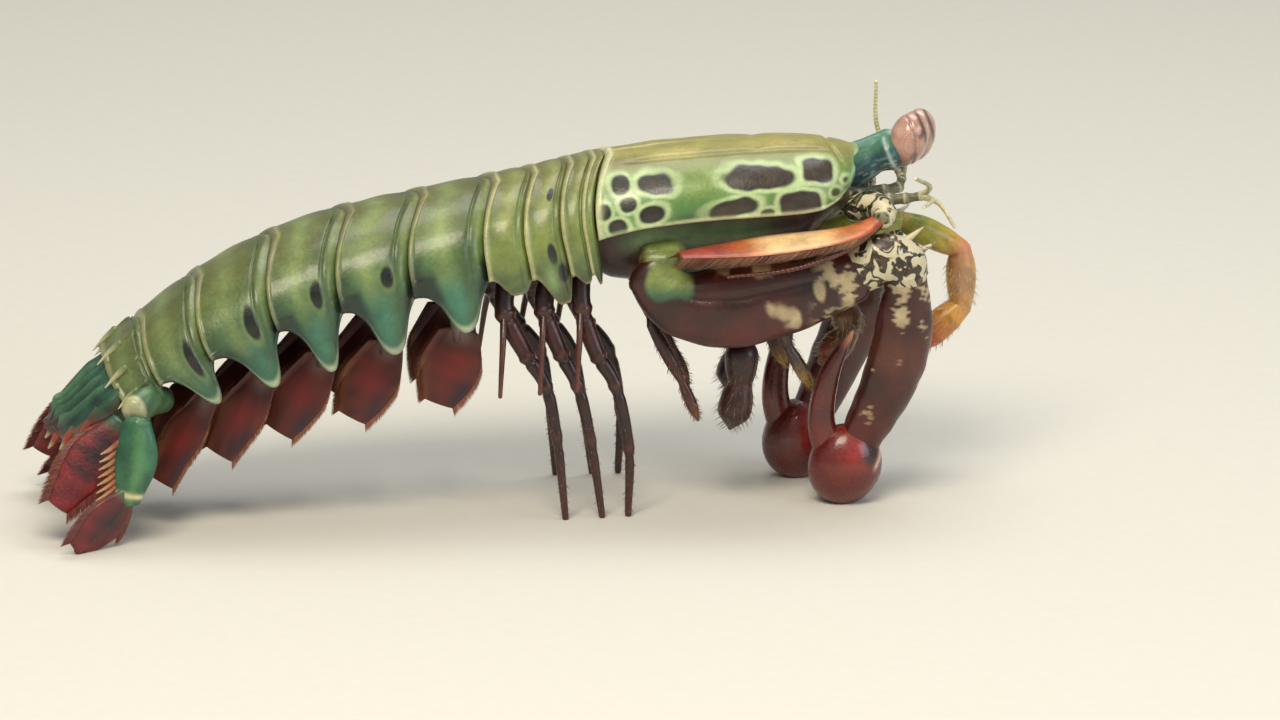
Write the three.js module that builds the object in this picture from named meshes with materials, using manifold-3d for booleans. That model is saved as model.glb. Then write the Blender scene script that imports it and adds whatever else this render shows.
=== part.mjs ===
// Peacock mantis shrimp at life size, standing on its walking legs and its tail fan,
// with both striking limbs lowered to the ground in front of the head.
// Millimetres. +X runs forward to the head, +Z is up, the right side is at -Y, the floor is Z = 0.
import * as THREE from 'three';
import Module from 'manifold-3d';
import { mergeVertices } from 'three/addons/utils/BufferGeometryUtils.js';

const wasm = await Module();
wasm.setup();

// Clear space between two pieces that touch in the animal, and the shortest edge that is kept.
const jointGap = 0.3;
const fineness = 0.03;
// Middle line of the back, from the front of the head to the end of the telson, as X and Z.
const backLine = [
  [62, 50.2], [57, 53.2], [51, 55.0], [44, 55.5], [30, 55.2], [18, 54.0], [6, 51.5], [-4, 49.8], [-14, 48.0],
  [-24.5, 45.8], [-34, 42.6], [-43, 38.0], [-50, 33.2], [-54.5, 29.4], [-58.5, 25.6], [-69, 14.8],
];
// Carapace: a thin shield with its stations along X, half width, and depth from crest to lower edge.
const shieldWall = 1.5;
const shieldEdge = THREE.MathUtils.degToRad(100);
const shieldStations = [
  { x: 18.3, half: 10.8, deep: 10.4 },
  { x: 20.5, half: 11.3, deep: 10.0 },
  { x: 24.0, half: 11.6, deep: 9.7 },
  { x: 32.0, half: 11.6, deep: 9.6 },
  { x: 40.0, half: 11.3, deep: 9.6 },
  { x: 47.0, half: 10.6, deep: 9.4 },
  { x: 51.5, half: 9.5, deep: 8.8 },
  { x: 54.5, half: 7.6, deep: 7.4 },
  { x: 56.2, half: 5.4, deep: 5.4 },
];
// Trunk under the carapace with its flat underside at the sternum, and the snout in front of it.
const trunkHalf = 8;
const sternumZ = 34.5;
const chinStart = 47;
const chinRise = 7.5;
const snoutStations = [
  { x: 57.0, half: 5.0, top: 47.6, floor: 42.4 },
  { x: 59.4, half: 4.4, top: 47.4, floor: 43.2 },
];
// Rings of thorax and abdomen: the X of the rear end of each along the back, half width, and the
// depths below the crest of the arch's widest place, of the belly and of the side plates' tips.
const thoraxFront = 18.15;
const ringPlan = [
  { name: 'thorax_5', rear: 16.4, half: 10.6, arch: 9.0, belly: 16.6, plate: 17.4 },
  { name: 'thorax_6', rear: 13.0, half: 10.9, arch: 8.6, belly: 15.6, plate: 16.6 },
  { name: 'thorax_7', rear: 7.6, half: 11.3, arch: 8.6, belly: 14.8, plate: 18.6 },
  { name: 'thorax_8', rear: 1.8, half: 11.7, arch: 8.6, belly: 13.8, plate: 15.6 },
  { name: 'abdomen_1', rear: -9.0, half: 12.4, arch: 9.0, belly: 12.6, plate: 19.6 },
  { name: 'abdomen_2', rear: -20.2, half: 12.9, arch: 9.2, belly: 12.6, plate: 20.4 },
  { name: 'abdomen_3', rear: -31.5, half: 13.2, arch: 9.2, belly: 12.2, plate: 20.2 },
  { name: 'abdomen_4', rear: -43.2, half: 13.0, arch: 8.8, belly: 11.2, plate: 18.4 },
  { name: 'abdomen_5', rear: -52.0, half: 12.5, arch: 8.0, belly: 9.6, plate: 15.4 },
  { name: 'abdomen_6', rear: -57.8, half: 11.4, arch: 6.4, belly: 7.4, plate: 9.8 },
];
// How far the flanks of a ring lie behind its crest, as X along the back and that distance.
const sweepRow = [
  [34, 0], [18.3, 4.2], [1.8, 4.4], [-9, 5.2], [-31.5, 5.2], [-43.2, 4.8], [-52, 3.8], [-57.8, 2.2],
  [-69, 0.4],
];
const sweepRound = 3;
const sweepHalf = 11.5;
const sweepDepth = 8.8;
const abdomenStart = 4;
const plateWall = 1.7;
const plateTuck = 0.9;
const plateLip = 0.1;
const bellySag = 0.8;
const archSteps = 6;
// Telson: a ridged plate along the last stretch of the back line.
const telsonRear = -67.2;
const telsonHalf = 10.8;
const telsonThick = 3.0;
// Eyes: the size of the eyeball, its lean, and the centre of each.
const eyeSize = { x: 5.8, y: 6.2, z: 8.4 };
const eyeTilt = THREE.MathUtils.degToRad(16);
const eyeCentres = { right: [63.3, -5.2, 55.6], left: [66.2, 5.2, 53.4] };
// Striking limbs: the lower end of the wrist and the middle of the swollen heel.
const heelSize = { x: 11.2, y: 9.2, z: 12.6 };
const strikePlan = {
  right: { wrist: [62.2, 11, 35.6], heel: [53.4, 8, 5.9], bend: [59.8, 9.6, 19.5], finger: [54.2, 9.4, 27] },
  left: { wrist: [62.2, 11, 35.6], heel: [48.6, 6.6, 5.9], bend: [55.4, 9.2, 19.5], finger: [48.6, 8.8, 27] },
};
// Walking legs: the X where each is rooted under its ring, and its knees down to the foot.
const footZ = -0.4;
const legPlan = [
  {
    name: 'walking_leg_1',
    ring: 1,
    root: 14.8,
    knees: [[13.2, 7.4, 32.4], [15.4, 9, 25], [17.9, 9.8, 20.6], [20, 10.6, 10.6], [19.8, 11.4, footZ]],
  },
  {
    name: 'walking_leg_2',
    ring: 2,
    root: 10.6,
    knees: [[7.6, 7.4, 32.2], [9.8, 9, 25.6], [12.2, 9.8, 20.8], [14.2, 10.6, 12], [15.8, 11.6, footZ]],
  },
  {
    name: 'walking_leg_3',
    ring: 3,
    root: 4.8,
    knees: [[1.6, 7.4, 32], [4.6, 9, 25.4], [7.4, 9.8, 20.8], [9, 10.8, 13], [10.2, 11.8, footZ]],
  },
];
// Mouth limbs: the thickness at each joint, and the joints on either side from sternum to tip.
const mouthPlan = [
  {
    name: 'maxilliped_1',
    thick: [1.8, 1.8, 1.9, 0.8],
    right: [[45, -2.6, 36], [43.6, -5, 29], [45, -6, 24], [48.8, -6.2, 17.2]],
    left: [[45, 2.6, 36], [44, 4.6, 29], [43.4, 3.4, 24], [46, 2, 18.6]],
  },
  {
    name: 'maxilliped_3',
    thick: [3, 3.4, 4, 4.2, 2],
    right: [[50, -3.2, 40], [52.6, -4, 34.6], [54, -4.4, 30], [54.4, -4.6, 25.4], [50.4, -4.2, 21]],
    left: [[51, 3, 40], [64, 4.4, 40.4], [73.2, 5, 35.4], [73.4, 5, 26.4], [65.8, 4.4, 20.2]],
  },
  {
    name: 'maxilliped_4',
    thick: [3.2, 3, 4.6, 0.9],
    right: [[35, -3.4, 36], [38, -6, 26], [37.6, -6.6, 18.6], [36, -6.6, 11.8]],
    left: [[35, 3.4, 36], [38.6, 6, 26], [39.4, 6.4, 20], [37.6, 6.4, 14]],
  },
  {
    name: 'maxilliped_5',
    thick: [2.2, 1.8, 1.6, 0.7],
    right: [[25.6, -3.4, 36], [24, -6.4, 28.4], [28.6, -7.4, 19.6], [31, -7.6, 13.6]],
    left: [[25.6, 3.4, 36], [24.6, 6.2, 28.4], [29.4, 6.8, 20.6], [31.6, 7, 15]],
  },
];

const sides = [{ sign: -1, word: 'right' }, { sign: 1, word: 'left' }];

const at = (x, y, z) => new THREE.Vector3(x, y, z);
const flatAt = (x, y) => new THREE.Vector2(x, y);

// A value read from a row of numbers spread evenly over 0 to 1, eased between them.
function along(row, t) {
  const place = Math.min(Math.max(t, 0), 1) * (row.length - 1);
  const low = Math.min(Math.floor(place), row.length - 2);
  const part = place - low;
  const eased = part * part * (3 - 2 * part);
  return row[low] + (row[low + 1] - row[low]) * eased;
}

// Turns every face round when the body's signed volume is negative.
function facingOut(geometry) {
  const place = geometry.getAttribute('position');
  const index = Array.from(geometry.getIndex().array);
  const a = at(0, 0, 0);
  const b = at(0, 0, 0);
  const c = at(0, 0, 0);
  let volume = 0;
  for (let i = 0; i < index.length; i += 3) {
    a.fromBufferAttribute(place, index[i]);
    b.fromBufferAttribute(place, index[i + 1]);
    c.fromBufferAttribute(place, index[i + 2]);
    volume += a.dot(b.cross(c));
  }
  if (volume < 0) {
    geometry.setIndex(index.reverse());
  }
  return geometry;
}

// Faces that fill an outline by its own flat shape, in the outline's direction.
function flatCap(flat) {
  const turned = THREE.ShapeUtils.isClockWise(flat);
  return THREE.ShapeUtils.triangulateShape(flat, []).map(([p, q, s]) => (turned ? [p, s, q] : [p, q, s]));
}

// Faces that fill an outline by level strips from each point to its mirror image.
function stripCap(count) {
  const faces = [[1, count - 1, 0]];
  for (let i = 1; i < count / 2; i += 1) {
    faces.push([i, i + 1, count - i]);
    if (i + 1 < count / 2) {
      faces.push([i + 1, count - i - 1, count - i]);
    }
  }
  return faces;
}

// Closed body from rings of the same count and the faces that fill its first and last ring.
function skin(rings, frontCap, rearCap) {
  const count = rings[0].length;
  const faces = [];
  for (let r = 0; r < rings.length - 1; r += 1) {
    for (let i = 0; i < count; i += 1) {
      const a = r * count + i;
      const b = r * count + ((i + 1) % count);
      const c = a + count;
      const d = b + count;
      if (i < count / 2) {
        faces.push(a, c, b, b, c, d);
      } else {
        faces.push(a, c, d, a, d, b);
      }
    }
  }
  const last = (rings.length - 1) * count;
  faces.push(...frontCap.flat());
  faces.push(...rearCap.flatMap(([p, q, s]) => [last + p, last + s, last + q]));
  const geometry = new THREE.BufferGeometry().setFromPoints(rings.flat());
  geometry.setIndex(faces);
  return facingOut(geometry);
}

function solidOf(geometry) {
  const bare = geometry.clone();
  bare.deleteAttribute('normal');
  bare.deleteAttribute('uv');
  const merged = mergeVertices(bare, 1e-4);
  const vertProperties = new Float32Array(merged.getAttribute('position').array);
  const triVerts = new Uint32Array(merged.getIndex().array);
  return new wasm.Manifold(new wasm.Mesh({ numProp: 3, vertProperties, triVerts }));
}

// The largest closed surface of a solid, as a geometry without edges shorter than the fineness.
function geometryOf(solid) {
  const pieces = solid.simplify(fineness).decompose();
  let largest = pieces[0];
  for (const piece of pieces) {
    if (piece.volume() > largest.volume()) {
      largest = piece;
    }
  }
  const mesh = largest.getMesh();
  const geometry = new THREE.BufferGeometry();
  geometry.setAttribute('position', new THREE.BufferAttribute(mesh.vertProperties, 3));
  geometry.setIndex(new THREE.BufferAttribute(mesh.triVerts, 1));
  return geometry;
}

function join(pieces) {
  let whole = solidOf(pieces[0]);
  for (const piece of pieces.slice(1)) {
    whole = whole.add(solidOf(piece));
  }
  return geometryOf(whole);
}

function cut(geometry, cutters) {
  let rest = solidOf(geometry);
  for (const cutter of cutters) {
    rest = rest.subtract(solidOf(cutter));
  }
  return geometryOf(rest);
}

// The part of a body that lies beyond a flat cut at the end of a limb's line, clear of it by the gap.
function beyond(geometry, points) {
  const line = new THREE.CatmullRomCurve3(points);
  const way = line.getTangent(1);
  const place = line.getPoint(1).addScaledVector(way, jointGap);
  return geometryOf(solidOf(geometry).trimByPlane(way.toArray(), place.dot(way)));
}

// Place on the back line at a given X, with the way to the tail and the way up from the back.
const back = new THREE.CatmullRomCurve3(backLine.map(([x, z]) => at(x, 0, z)));
function backAt(x) {
  let low = 0;
  let high = 1;
  for (let i = 0; i < 40; i += 1) {
    const middle = (low + high) / 2;
    if (back.getPoint(middle).x > x) {
      low = middle;
    } else {
      high = middle;
    }
  }
  const point = back.getPoint(low);
  const rearward = back.getTangent(low);
  const up = at(rearward.z, 0, -rearward.x);
  return { point, rearward, up };
}

// The sweep at an X along the back and a depth: it grows with the half width that an arch has at that
// depth, slowly at first, and stays the same below the arch.
function sweepAt(x, depth) {
  const last = sweepRow.length - 1;
  let k = 1;
  while (k < last && sweepRow[k][0] > x) {
    k += 1;
  }
  const [x0, s0] = sweepRow[k - 1];
  const [x1, s1] = sweepRow[k];
  const whole = s0 + (s1 - s0) * THREE.MathUtils.clamp((x - x0) / (x1 - x0), 0, 1);
  const left = 1 - THREE.MathUtils.clamp(depth / sweepDepth, 0, 1);
  const rise = (wide) => Math.hypot(wide, sweepRound) - sweepRound;
  return (whole * rise(sweepHalf * Math.sqrt(1 - left * left))) / rise(sweepHalf);
}

// A point given by its X along the back, its Y, its depth below the crest and its way to the rear.
function under(x, y, depth, rear = 0) {
  const { point, rearward, up } = backAt(x);
  const behind = rear + sweepAt(x, depth);
  return point.clone().addScaledVector(up, -depth).addScaledVector(rearward, behind).setY(y);
}

function ringAt(x, flat, rear = 0) {
  return flat.map((p) => under(x, p.x, -p.y, rear));
}

// Elliptical arch from its left edge over the crest to its right edge, pulled in by an inset.
function archFlat(half, deep, edge, inset) {
  const points = [];
  for (let i = archSteps; i >= -archSteps; i -= 1) {
    const angle = (edge * i) / archSteps;
    points.push(flatAt((half - inset) * Math.sin(angle), -inset - (deep - inset) * (1 - Math.cos(angle))));
  }
  return points;
}

// An arch closed below by an outline that runs from the middle of the underside to the left edge.
function closedFlat(lower, arch) {
  const other = lower.slice(1).reverse().map((p) => flatAt(-p.x, p.y));
  return [...lower, ...arch, ...other];
}

// A limb or blade: an oval section carried along a smooth line, wide across the given way.
// With a grow it is thicker by that all round and longer by it at both ends.
function taper(points, widths, depths, { across = at(0, 1, 0), around = 8, steps = 8, grow = 0 } = {}) {
  const line = new THREE.CatmullRomCurve3(points);
  const flat = [];
  for (let i = 0; i < around; i += 1) {
    const angle = (2 * Math.PI * i) / around;
    flat.push(flatAt(Math.cos(angle), Math.sin(angle)));
  }
  const rings = [];
  for (let s = 0; s <= steps; s += 1) {
    const t = s / steps;
    const forward = line.getTangent(t);
    const reach = grow * ((s === steps ? 1 : 0) - (s === 0 ? 1 : 0));
    const middle = line.getPoint(t).addScaledVector(forward, reach);
    const wide = across.clone().addScaledVector(forward, -across.dot(forward)).normalize();
    const deep = forward.clone().cross(wide);
    rings.push(flat.map((p) => middle.clone()
      .addScaledVector(wide, p.x * (along(widths, t) / 2 + grow))
      .addScaledVector(deep, p.y * (along(depths, t) / 2 + grow))));
  }
  return skin(rings, flatCap(flat), flatCap(flat));
}

// A jointed limb: one spindle from each joint to the next, sunk into one another at the joints.
function jointed(joints, thick, around = 6) {
  const spindles = joints.slice(1).map((end, i) => {
    const start = joints[i];
    const middle = start.clone().lerp(end, 0.4);
    const swell = Math.max(thick[i], thick[i + 1]) * 1.05;
    return taper([start, middle, end], [thick[i] * 0.85, swell, thick[i + 1] * 0.8],
      [thick[i] * 0.85, swell, thick[i + 1] * 0.8], { around, steps: 4, grow: 0.15 });
  });
  return join(spindles);
}

// A pointed spine of four sides.
function spine(root, tip, thick) {
  const across = Math.abs(tip.y - root.y) > Math.abs(tip.z - root.z) ? at(0, 0, 1) : at(0, 1, 0);
  return taper([root, tip], [thick, 0.3], [thick, 0.3], { across, around: 4, steps: 1 });
}

// An egg-shaped ball, leaned forward, and swollen by a grow all round.
function ball([x, y, z], size, lean, grow = 0) {
  const geometry = new THREE.SphereGeometry(1, 14, 10);
  geometry.scale(size.x / 2 + grow, size.y / 2 + grow, size.z / 2 + grow);
  return geometry.rotateY(lean).translate(x, y, z);
}

// Everything below the floor.
const blockSize = 200;
const ground = new THREE.BoxGeometry(blockSize, blockSize, blockSize).translate(0, 0, -blockSize / 2);

const shrimp = new THREE.Group();
function put(name, geometry, finish) {
  const mesh = new THREE.Mesh(geometry, new THREE.MeshStandardMaterial(finish));
  mesh.name = name;
  shrimp.add(mesh);
}

const olive = { color: '#6f7a3a', roughness: 0.35, metalness: 0 };
const green = { color: '#3f6648', roughness: 0.35, metalness: 0 };
const teal = { color: '#1f5a4c', roughness: 0.35, metalness: 0 };
const maroon = { color: '#4a1a18', roughness: 0.4, metalness: 0 };
const red = { color: '#8f1f1c', roughness: 0.35, metalness: 0 };
const orange = { color: '#d07a30', roughness: 0.4, metalness: 0 };
const mottled = { color: '#8a7a5e', roughness: 0.45, metalness: 0 };
const pinkTan = { color: '#b48a7c', roughness: 0.25, metalness: 0 };

// Carapace
function carapace(grow = 0) {
  const last = shieldStations.length - 1;
  const flats = shieldStations.map(({ half, deep }) => {
    const arch = deep / (1 - Math.cos(shieldEdge));
    const outer = archFlat(half, arch, shieldEdge, -grow);
    const inner = archFlat(half, arch, shieldEdge, shieldWall + grow);
    return [...outer, ...inner.reverse()];
  });
  const rings = shieldStations.map(({ x }, i) => ringAt(x, flats[i], grow * ((i === 0) - (i === last))));
  return skin(rings, flatCap(flats[0]), flatCap(flats[last]));
}
put('carapace', carapace(), olive);

// Head and trunk: the body that the carapace roofs over, drawn out in front into a low snout
function trunk(grow = 0) {
  const inset = shieldWall + jointGap - grow;
  const rings = [];
  for (const { x, half, deep } of shieldStations) {
    const arch = deep / (1 - Math.cos(shieldEdge));
    const flank = Math.min(trunkHalf, half - inset - jointGap) + grow;
    const rise = THREE.MathUtils.clamp((x - chinStart) / (shieldStations.at(-1).x - chinStart), 0, 1);
    const bottom = backAt(x).point.z - (sternumZ + rise * chinRise) + grow;
    const lower = [
      flatAt(0, -bottom - bellySag / 2),
      flatAt(flank * 0.7, -bottom),
      flatAt(flank, -bottom + 1.5),
      flatAt(flank, -deep - 0.8),
    ];
    rings.push(ringAt(x, closedFlat(lower, archFlat(half, arch, shieldEdge, inset))));
  }
  for (const { x, half, top, floor } of snoutStations) {
    const wide = half + grow;
    const low = floor - grow;
    const arch = (top + grow - low) * 0.6;
    const lower = [
      flatAt(0, low),
      flatAt(wide * 0.7, low + 0.3),
      flatAt(wide, low + 0.8),
      flatAt(wide, low + 1.2),
    ];
    const roof = archFlat(wide, arch, Math.PI / 2, 0).map((p) => flatAt(p.x, p.y + top + grow));
    const reach = x === snoutStations[1].x ? grow : 0;
    rings.push(closedFlat(lower, roof).map((p) => at(x + reach, p.x, p.y)));
  }
  const cap = stripCap(rings[0].length);
  return skin(rings, cap, cap);
}
put('head', trunk(), mottled);

// Thorax and abdomen: how far the side plate hangs and how the ring swells, from front to rear
const plateRows = { thorax: [0, 0.8, 1, 0.6, 0], abdomen: [0, 0.3, 0.84, 1, 0.86, 0.34, 0.08, 0] };
const swellRows = { thorax: [0.96, 0.99, 1, 1, 1.012], abdomen: [0.945, 0.985, 1, 1, 0.995, 1, 1.01, 1.015] };

// Each ring hands its sizes on to the next; a grow makes it larger all round.
function bodyRing(i, grow = 0) {
  const plan = ringPlan[i];
  const next = ringPlan[i + 1] ?? { ...plan, half: plan.half - 0.4, belly: plan.belly - 0.3 };
  const kind = i < abdomenStart ? 'thorax' : 'abdomen';
  const front = i === 0 ? thoraxFront : ringPlan[i - 1].rear;
  const rings = [];
  plateRows[kind].forEach((hang, k) => {
    const t = k / (plateRows[kind].length - 1);
    const blend = (key) => plan[key] + (next[key] - plan[key]) * t;
    const half = blend('half') * swellRows[kind][k] + grow;
    const arch = blend('arch');
    const belly = blend('belly') + grow;
    const plate = belly + plateLip + (plan.plate - plan.belly) * hang;
    const tip = half - plateTuck;
    const wall = plateWall + 2 * grow;
    const lower = [
      flatAt(0, -belly - bellySag),
      flatAt(half * 0.5, -belly - bellySag * 0.7),
      flatAt(tip - wall - 0.5, -belly),
      flatAt(tip - wall, -plate),
      flatAt(tip, -plate + 0.3),
      flatAt(half - 0.1, -(arch + plate) / 2),
    ];
    const roof = archFlat(half, arch + grow, Math.PI / 2, 0).map((p) => flatAt(p.x, p.y + grow));
    const inward = (jointGap / 2 - grow) * ((k === 0) - (k === plateRows[kind].length - 1));
    rings.push(ringAt(front + (plan.rear - front) * t, closedFlat(lower, roof), inward));
  });
  const cap = stripCap(rings[0].length);
  return skin(rings, cap, cap);
}
ringPlan.forEach((plan, i) => put(plan.name, bodyRing(i), i < abdomenStart ? olive : green));

// Telson
const telsonWidths = [0.94, 0.98, 1, 0.97, 0.88, 0.72, 0.5];
const telsonRidges = [0, 0.26, 0.5, 0.74];
const telsonTeeth = [[0.28, 1, 2.6], [0.62, 0.86, 2.6], [0.86, 0.6, 2.2]];
function telson() {
  const front = ringPlan.at(-1).rear;
  const topHalf = 9;
  const rings = [];
  telsonWidths.forEach((share, i) => {
    const t = i / (telsonWidths.length - 1);
    const top = [];
    for (let k = topHalf; k >= -topHalf; k -= 1) {
      const u = k / topHalf;
      const nearest = Math.min(...telsonRidges.map((place) => Math.abs(Math.abs(u) - place)));
      const ridge = 0.7 * Math.max(0, 1 - nearest / 0.1) * Math.sin(Math.PI * Math.min(1, 0.15 + t));
      top.push(flatAt(u * telsonHalf * share, -0.9 - 2.6 * u * u + ridge));
    }
    const lower = [0, 0.45, 0.85].map((u) => flatAt(u * telsonHalf * share, -telsonThick - 1.2 - 1.2 * u));
    rings.push(ringAt(front + (telsonRear - front) * t, closedFlat(lower, top), i === 0 ? jointGap / 2 : 0));
  });
  const cap = stripCap(rings[0].length);
  const teeth = sides.flatMap(({ sign }) => telsonTeeth.map(([u, t, reach]) => {
    const x = front + (telsonRear - front) * t;
    const y = sign * u * telsonHalf * (t === 1 ? 0.9 : 0.98);
    return spine(under(x, y, 3.0 + u, -2.4), under(x, y * 1.04, 3.4 + u, reach), 2);
  }));
  return join([skin(rings, cap, cap), ...teeth]);
}
put('telson', telson(), teal);

// Tail fan: on each side a stalk with a forked prong, an outer blade in two articles with a row of
// spines down its edge, and an inner blade
const edgeSpineCount = 7;
for (const { sign, word } of sides) {
  const stalk = taper(
    [at(-50.4, sign * 8.2, 20.2), at(-52.6, sign * 10.8, 20.8), at(-54.6, sign * 13.2, 20.4)],
    [4.4, 4.8, 4.2],
    [4, 4.4, 3.8],
    { across: at(0, 0, 1), steps: 4 },
  );
  const prongs = [0, 1].map((k) => taper(
    [
      at(-54.2, sign * (12.8 - 1.2 * k), 19.4),
      at(-57.6, sign * (13.8 - 1.6 * k), 11),
      at(-60.4 - 1.4 * k, sign * (14.6 - 2.4 * k), 3.2 + 2.2 * k),
    ],
    [2.4, 1.9, 0.4],
    [2.2, 1.6, 0.4],
    { around: 6, steps: 4 },
  ));
  const inner = (grow) => taper(
    [at(-56.8, sign * 11.6, 18), at(-61.2, sign * 13, 12.8), at(-66.6, sign * 14.8, 6.2)],
    [3.2, 7.4, 3.4],
    [1.8, 1.4, 0.9],
    { across: at(0.78, sign * 0.3, -0.55), steps: 6, grow },
  );
  const last = ringPlan.length - 1;
  const neighbours = [bodyRing(last, jointGap), bodyRing(last - 1, jointGap), inner(jointGap)];
  put(`uropod_base_${word}`, cut(join([stalk, ...prongs]), neighbours), teal);
  put(`uropod_inner_${word}`, inner(0), red);
  const edgeSpines = [];
  for (let k = 0; k < edgeSpineCount; k += 1) {
    const t = 0.2 + (0.66 * k) / (edgeSpineCount - 1);
    const root = at(-57.5 - 0.3 * t, sign * (15.9 + 1.1 * t), 18 - 9.6 * t);
    edgeSpines.push(spine(root, root.clone().add(at(-2.5 - t, sign * 0.5, -1.3 - t)), 1.1));
  }
  const outer = join([
    taper(
      [at(-54.6, sign * 15.6, 19), at(-55, sign * 16.4, 13.6), at(-56.4, sign * 17, 7.4)],
      [4.2, 6.4, 3.6],
      [2.4, 3, 2],
      { across: at(1, 0, 0), steps: 5 },
    ),
    ...edgeSpines,
    taper(
      [at(-56, sign * 16.9, 8.4), at(-59.6, sign * 18, 4.6), at(-64.2, sign * 19.2, 0.1)],
      [3, 7, 3.2],
      [1.8, 1.4, 1.0],
      { across: at(0.6, 0.4, -0.5), steps: 6 },
    ),
  ]);
  put(`uropod_outer_${word}`, cut(outer, [ground]), teal);
}

// Eyes on their stalks
for (const { sign, word } of sides) {
  const centre = eyeCentres[word];
  const [x, y, z] = centre;
  put(`eye_${word}`, ball(centre, eyeSize, eyeTilt), pinkTan);
  const stalk = taper(
    [at(54.6, sign * 2.9, 49.6), at(58.6, (sign * 3.2 + y) / 2, (50.4 + z) / 2 - 0.6), at(x, y, z)],
    [3.8, 4.4, 4.6],
    [4.2, 4.8, 4.8],
    { steps: 5 },
  );
  const cutters = [ball(centre, eyeSize, eyeTilt, jointGap), trunk(jointGap), carapace(jointGap)];
  put(`eye_stalk_${word}`, cut(stalk, cutters), teal);
}

// First feelers: a jointed stalk with three whips, the left ones raised behind the eye
const whipPlan = {
  right: [
    [[68, -5, 45.4], [70, -8, 42.4]],
    [[66.6, -7.4, 46.6], [64.4, -13, 47]],
    [[66.4, -6.6, 48.4], [63.4, -11, 51]],
  ],
  left: [
    [[60.8, 8.4, 54], [60.4, 7.6, 61.5]],
    [[65.4, 8.6, 49.6], [66.6, 12, 51.4]],
    [[63.2, 11, 50], [62, 15, 52]],
  ],
};
for (const { sign, word } of sides) {
  const elbow = word === 'right' ? at(65.6, -3.4, 46.2) : at(64, 4.8, 46.8);
  const stalk = taper(
    [at(58.6, sign * 2.3, 45.6), at(62, sign * 2.7, 45.6), elbow],
    [2.4, 2.2, 1.5],
    [2.4, 2.2, 1.5],
    { steps: 4, around: 6 },
  );
  const whips = whipPlan[word].map((path) => taper(
    [elbow, ...path.map(([x, y, z]) => at(x, y, z))],
    [1.1, 0.7, 0.45],
    [1.1, 0.7, 0.45],
    { around: 5, steps: 5, grow: 0.02 },
  ));
  put(`antennule_${word}`, cut(join([stalk, ...whips]), [trunk(jointGap)]), mottled);
}

// Second feelers: stout base, one whip, and a broad oval scale swept back along the carapace
for (const { sign, word } of sides) {
  const base = taper(
    [at(55.6, sign * 4.4, 45), at(58.6, sign * 7.4, 46), at(58.4, sign * 11, 44.7)],
    [4.4, 4.8, 3],
    [4.4, 4.6, 3],
    { across: at(0, 0, 1), steps: 5 },
  );
  const scale = taper(
    [
      at(58.2, sign * 10.8, 44.7),
      at(53, sign * 13.2, 43.5),
      at(40, sign * 14.6, 42.4),
      at(27.5, sign * 14.4, 41.4),
    ],
    [2.4, 5.4, 7.6, 3],
    [1.8, 1.2, 1.0, 0.8],
    { across: at(0, sign * 0.96, -0.1), steps: 8 },
  );
  const whip = taper(
    [at(58, sign * 11, 44), at(52, sign * 16, 41.6), at(44, sign * 18, 39.6), at(34, sign * 17.6, 38.6)],
    [1.3, 0.9, 0.7, 0.5],
    [1.3, 0.9, 0.7, 0.5],
    { around: 5, steps: 7 },
  );
  put(`antenna_${word}`, cut(join([base, scale, whip]), [trunk(jointGap), carapace(jointGap)]), orange);
}

// Striking limbs: thigh, wrist, arm, and the hinged finger with its swollen heel
for (const { sign, word } of sides) {
  const plan = strikePlan[word];
  const point = ([x, y, z]) => at(x, sign * y, z);
  const heel = point(plan.heel);
  const wristEnd = point(plan.wrist);
  const thighPoints = [
    [22.8, 10, 37.6], [27.5, 11, 33.2], [35, 11.6, 32.2], [45, 11.8, 34], [54.6, 11.8, 36.4],
  ].map(point);
  const thigh = taper(thighPoints, [4.4, 6, 6.6, 6.4, 5], [7, 10, 12.6, 11.4, 7.8], { around: 10, steps: 8 });
  const hip = taper([at(26, sign * 6, 39.4), at(23.6, sign * 11, 39.2)], [6.4, 5.4], [7.4, 6.6],
    { across: at(0, 0, 1), steps: 1 });
  put(`raptorial_thigh_${word}`, cut(join([thigh, hip]), [trunk(jointGap), carapace(jointGap)]), maroon);
  const wristPoints = [
    at(53.9, sign * 11.8, 36.6),
    at(58.4, sign * 11.8, 39),
    at(61.6, sign * 11.3, 38.4),
    wristEnd,
  ];
  const wrist = taper(wristPoints, [5, 6, 6, 5], [7, 7.4, 6.6, 6], { steps: 7 });
  put(`raptorial_wrist_${word}`, beyond(wrist, thighPoints), mottled);
  const knee = at((wristEnd.x + plan.bend[0] + 1.6) / 2, sign * 10.4, 28);
  const arm = taper(
    [wristEnd.clone().add(at(0, 0, 1)), knee, point(plan.bend), heel],
    [4.6, 6.2, 6.4, 4.4],
    [6, 9, 9, 6],
    { steps: 8 },
  );
  const heelBall = (grow) => ball(heel.toArray(), heelSize, 0.25, grow);
  put(`raptorial_arm_${word}`, cut(beyond(arm, wristPoints), [heelBall(jointGap)]), maroon);
  const fingerLine = [
    at(heel.x - 1.6, heel.y, heel.z),
    at(heel.x - 3.6, heel.y, 12.6),
    at(heel.x - 2.6, (heel.y + sign * plan.finger[1]) / 2, 20),
    point(plan.finger),
  ];
  const finger = taper(
    fingerLine,
    [4, 3.6, 3, 0.6],
    [5, 4.2, 3.2, 0.6],
    { steps: 6 },
  );
  put(`raptorial_club_${word}`, cut(join([heelBall(0), finger]), [ground]), red);
}

// Mouth limbs
for (const { word } of sides) {
  for (const plan of mouthPlan) {
    const limb = jointed(plan[word].map(([x, y, z]) => at(x, y, z)), plan.thick);
    put(`${plan.name}_${word}`, cut(limb, [trunk(jointGap)]), maroon);
  }
}

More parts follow.
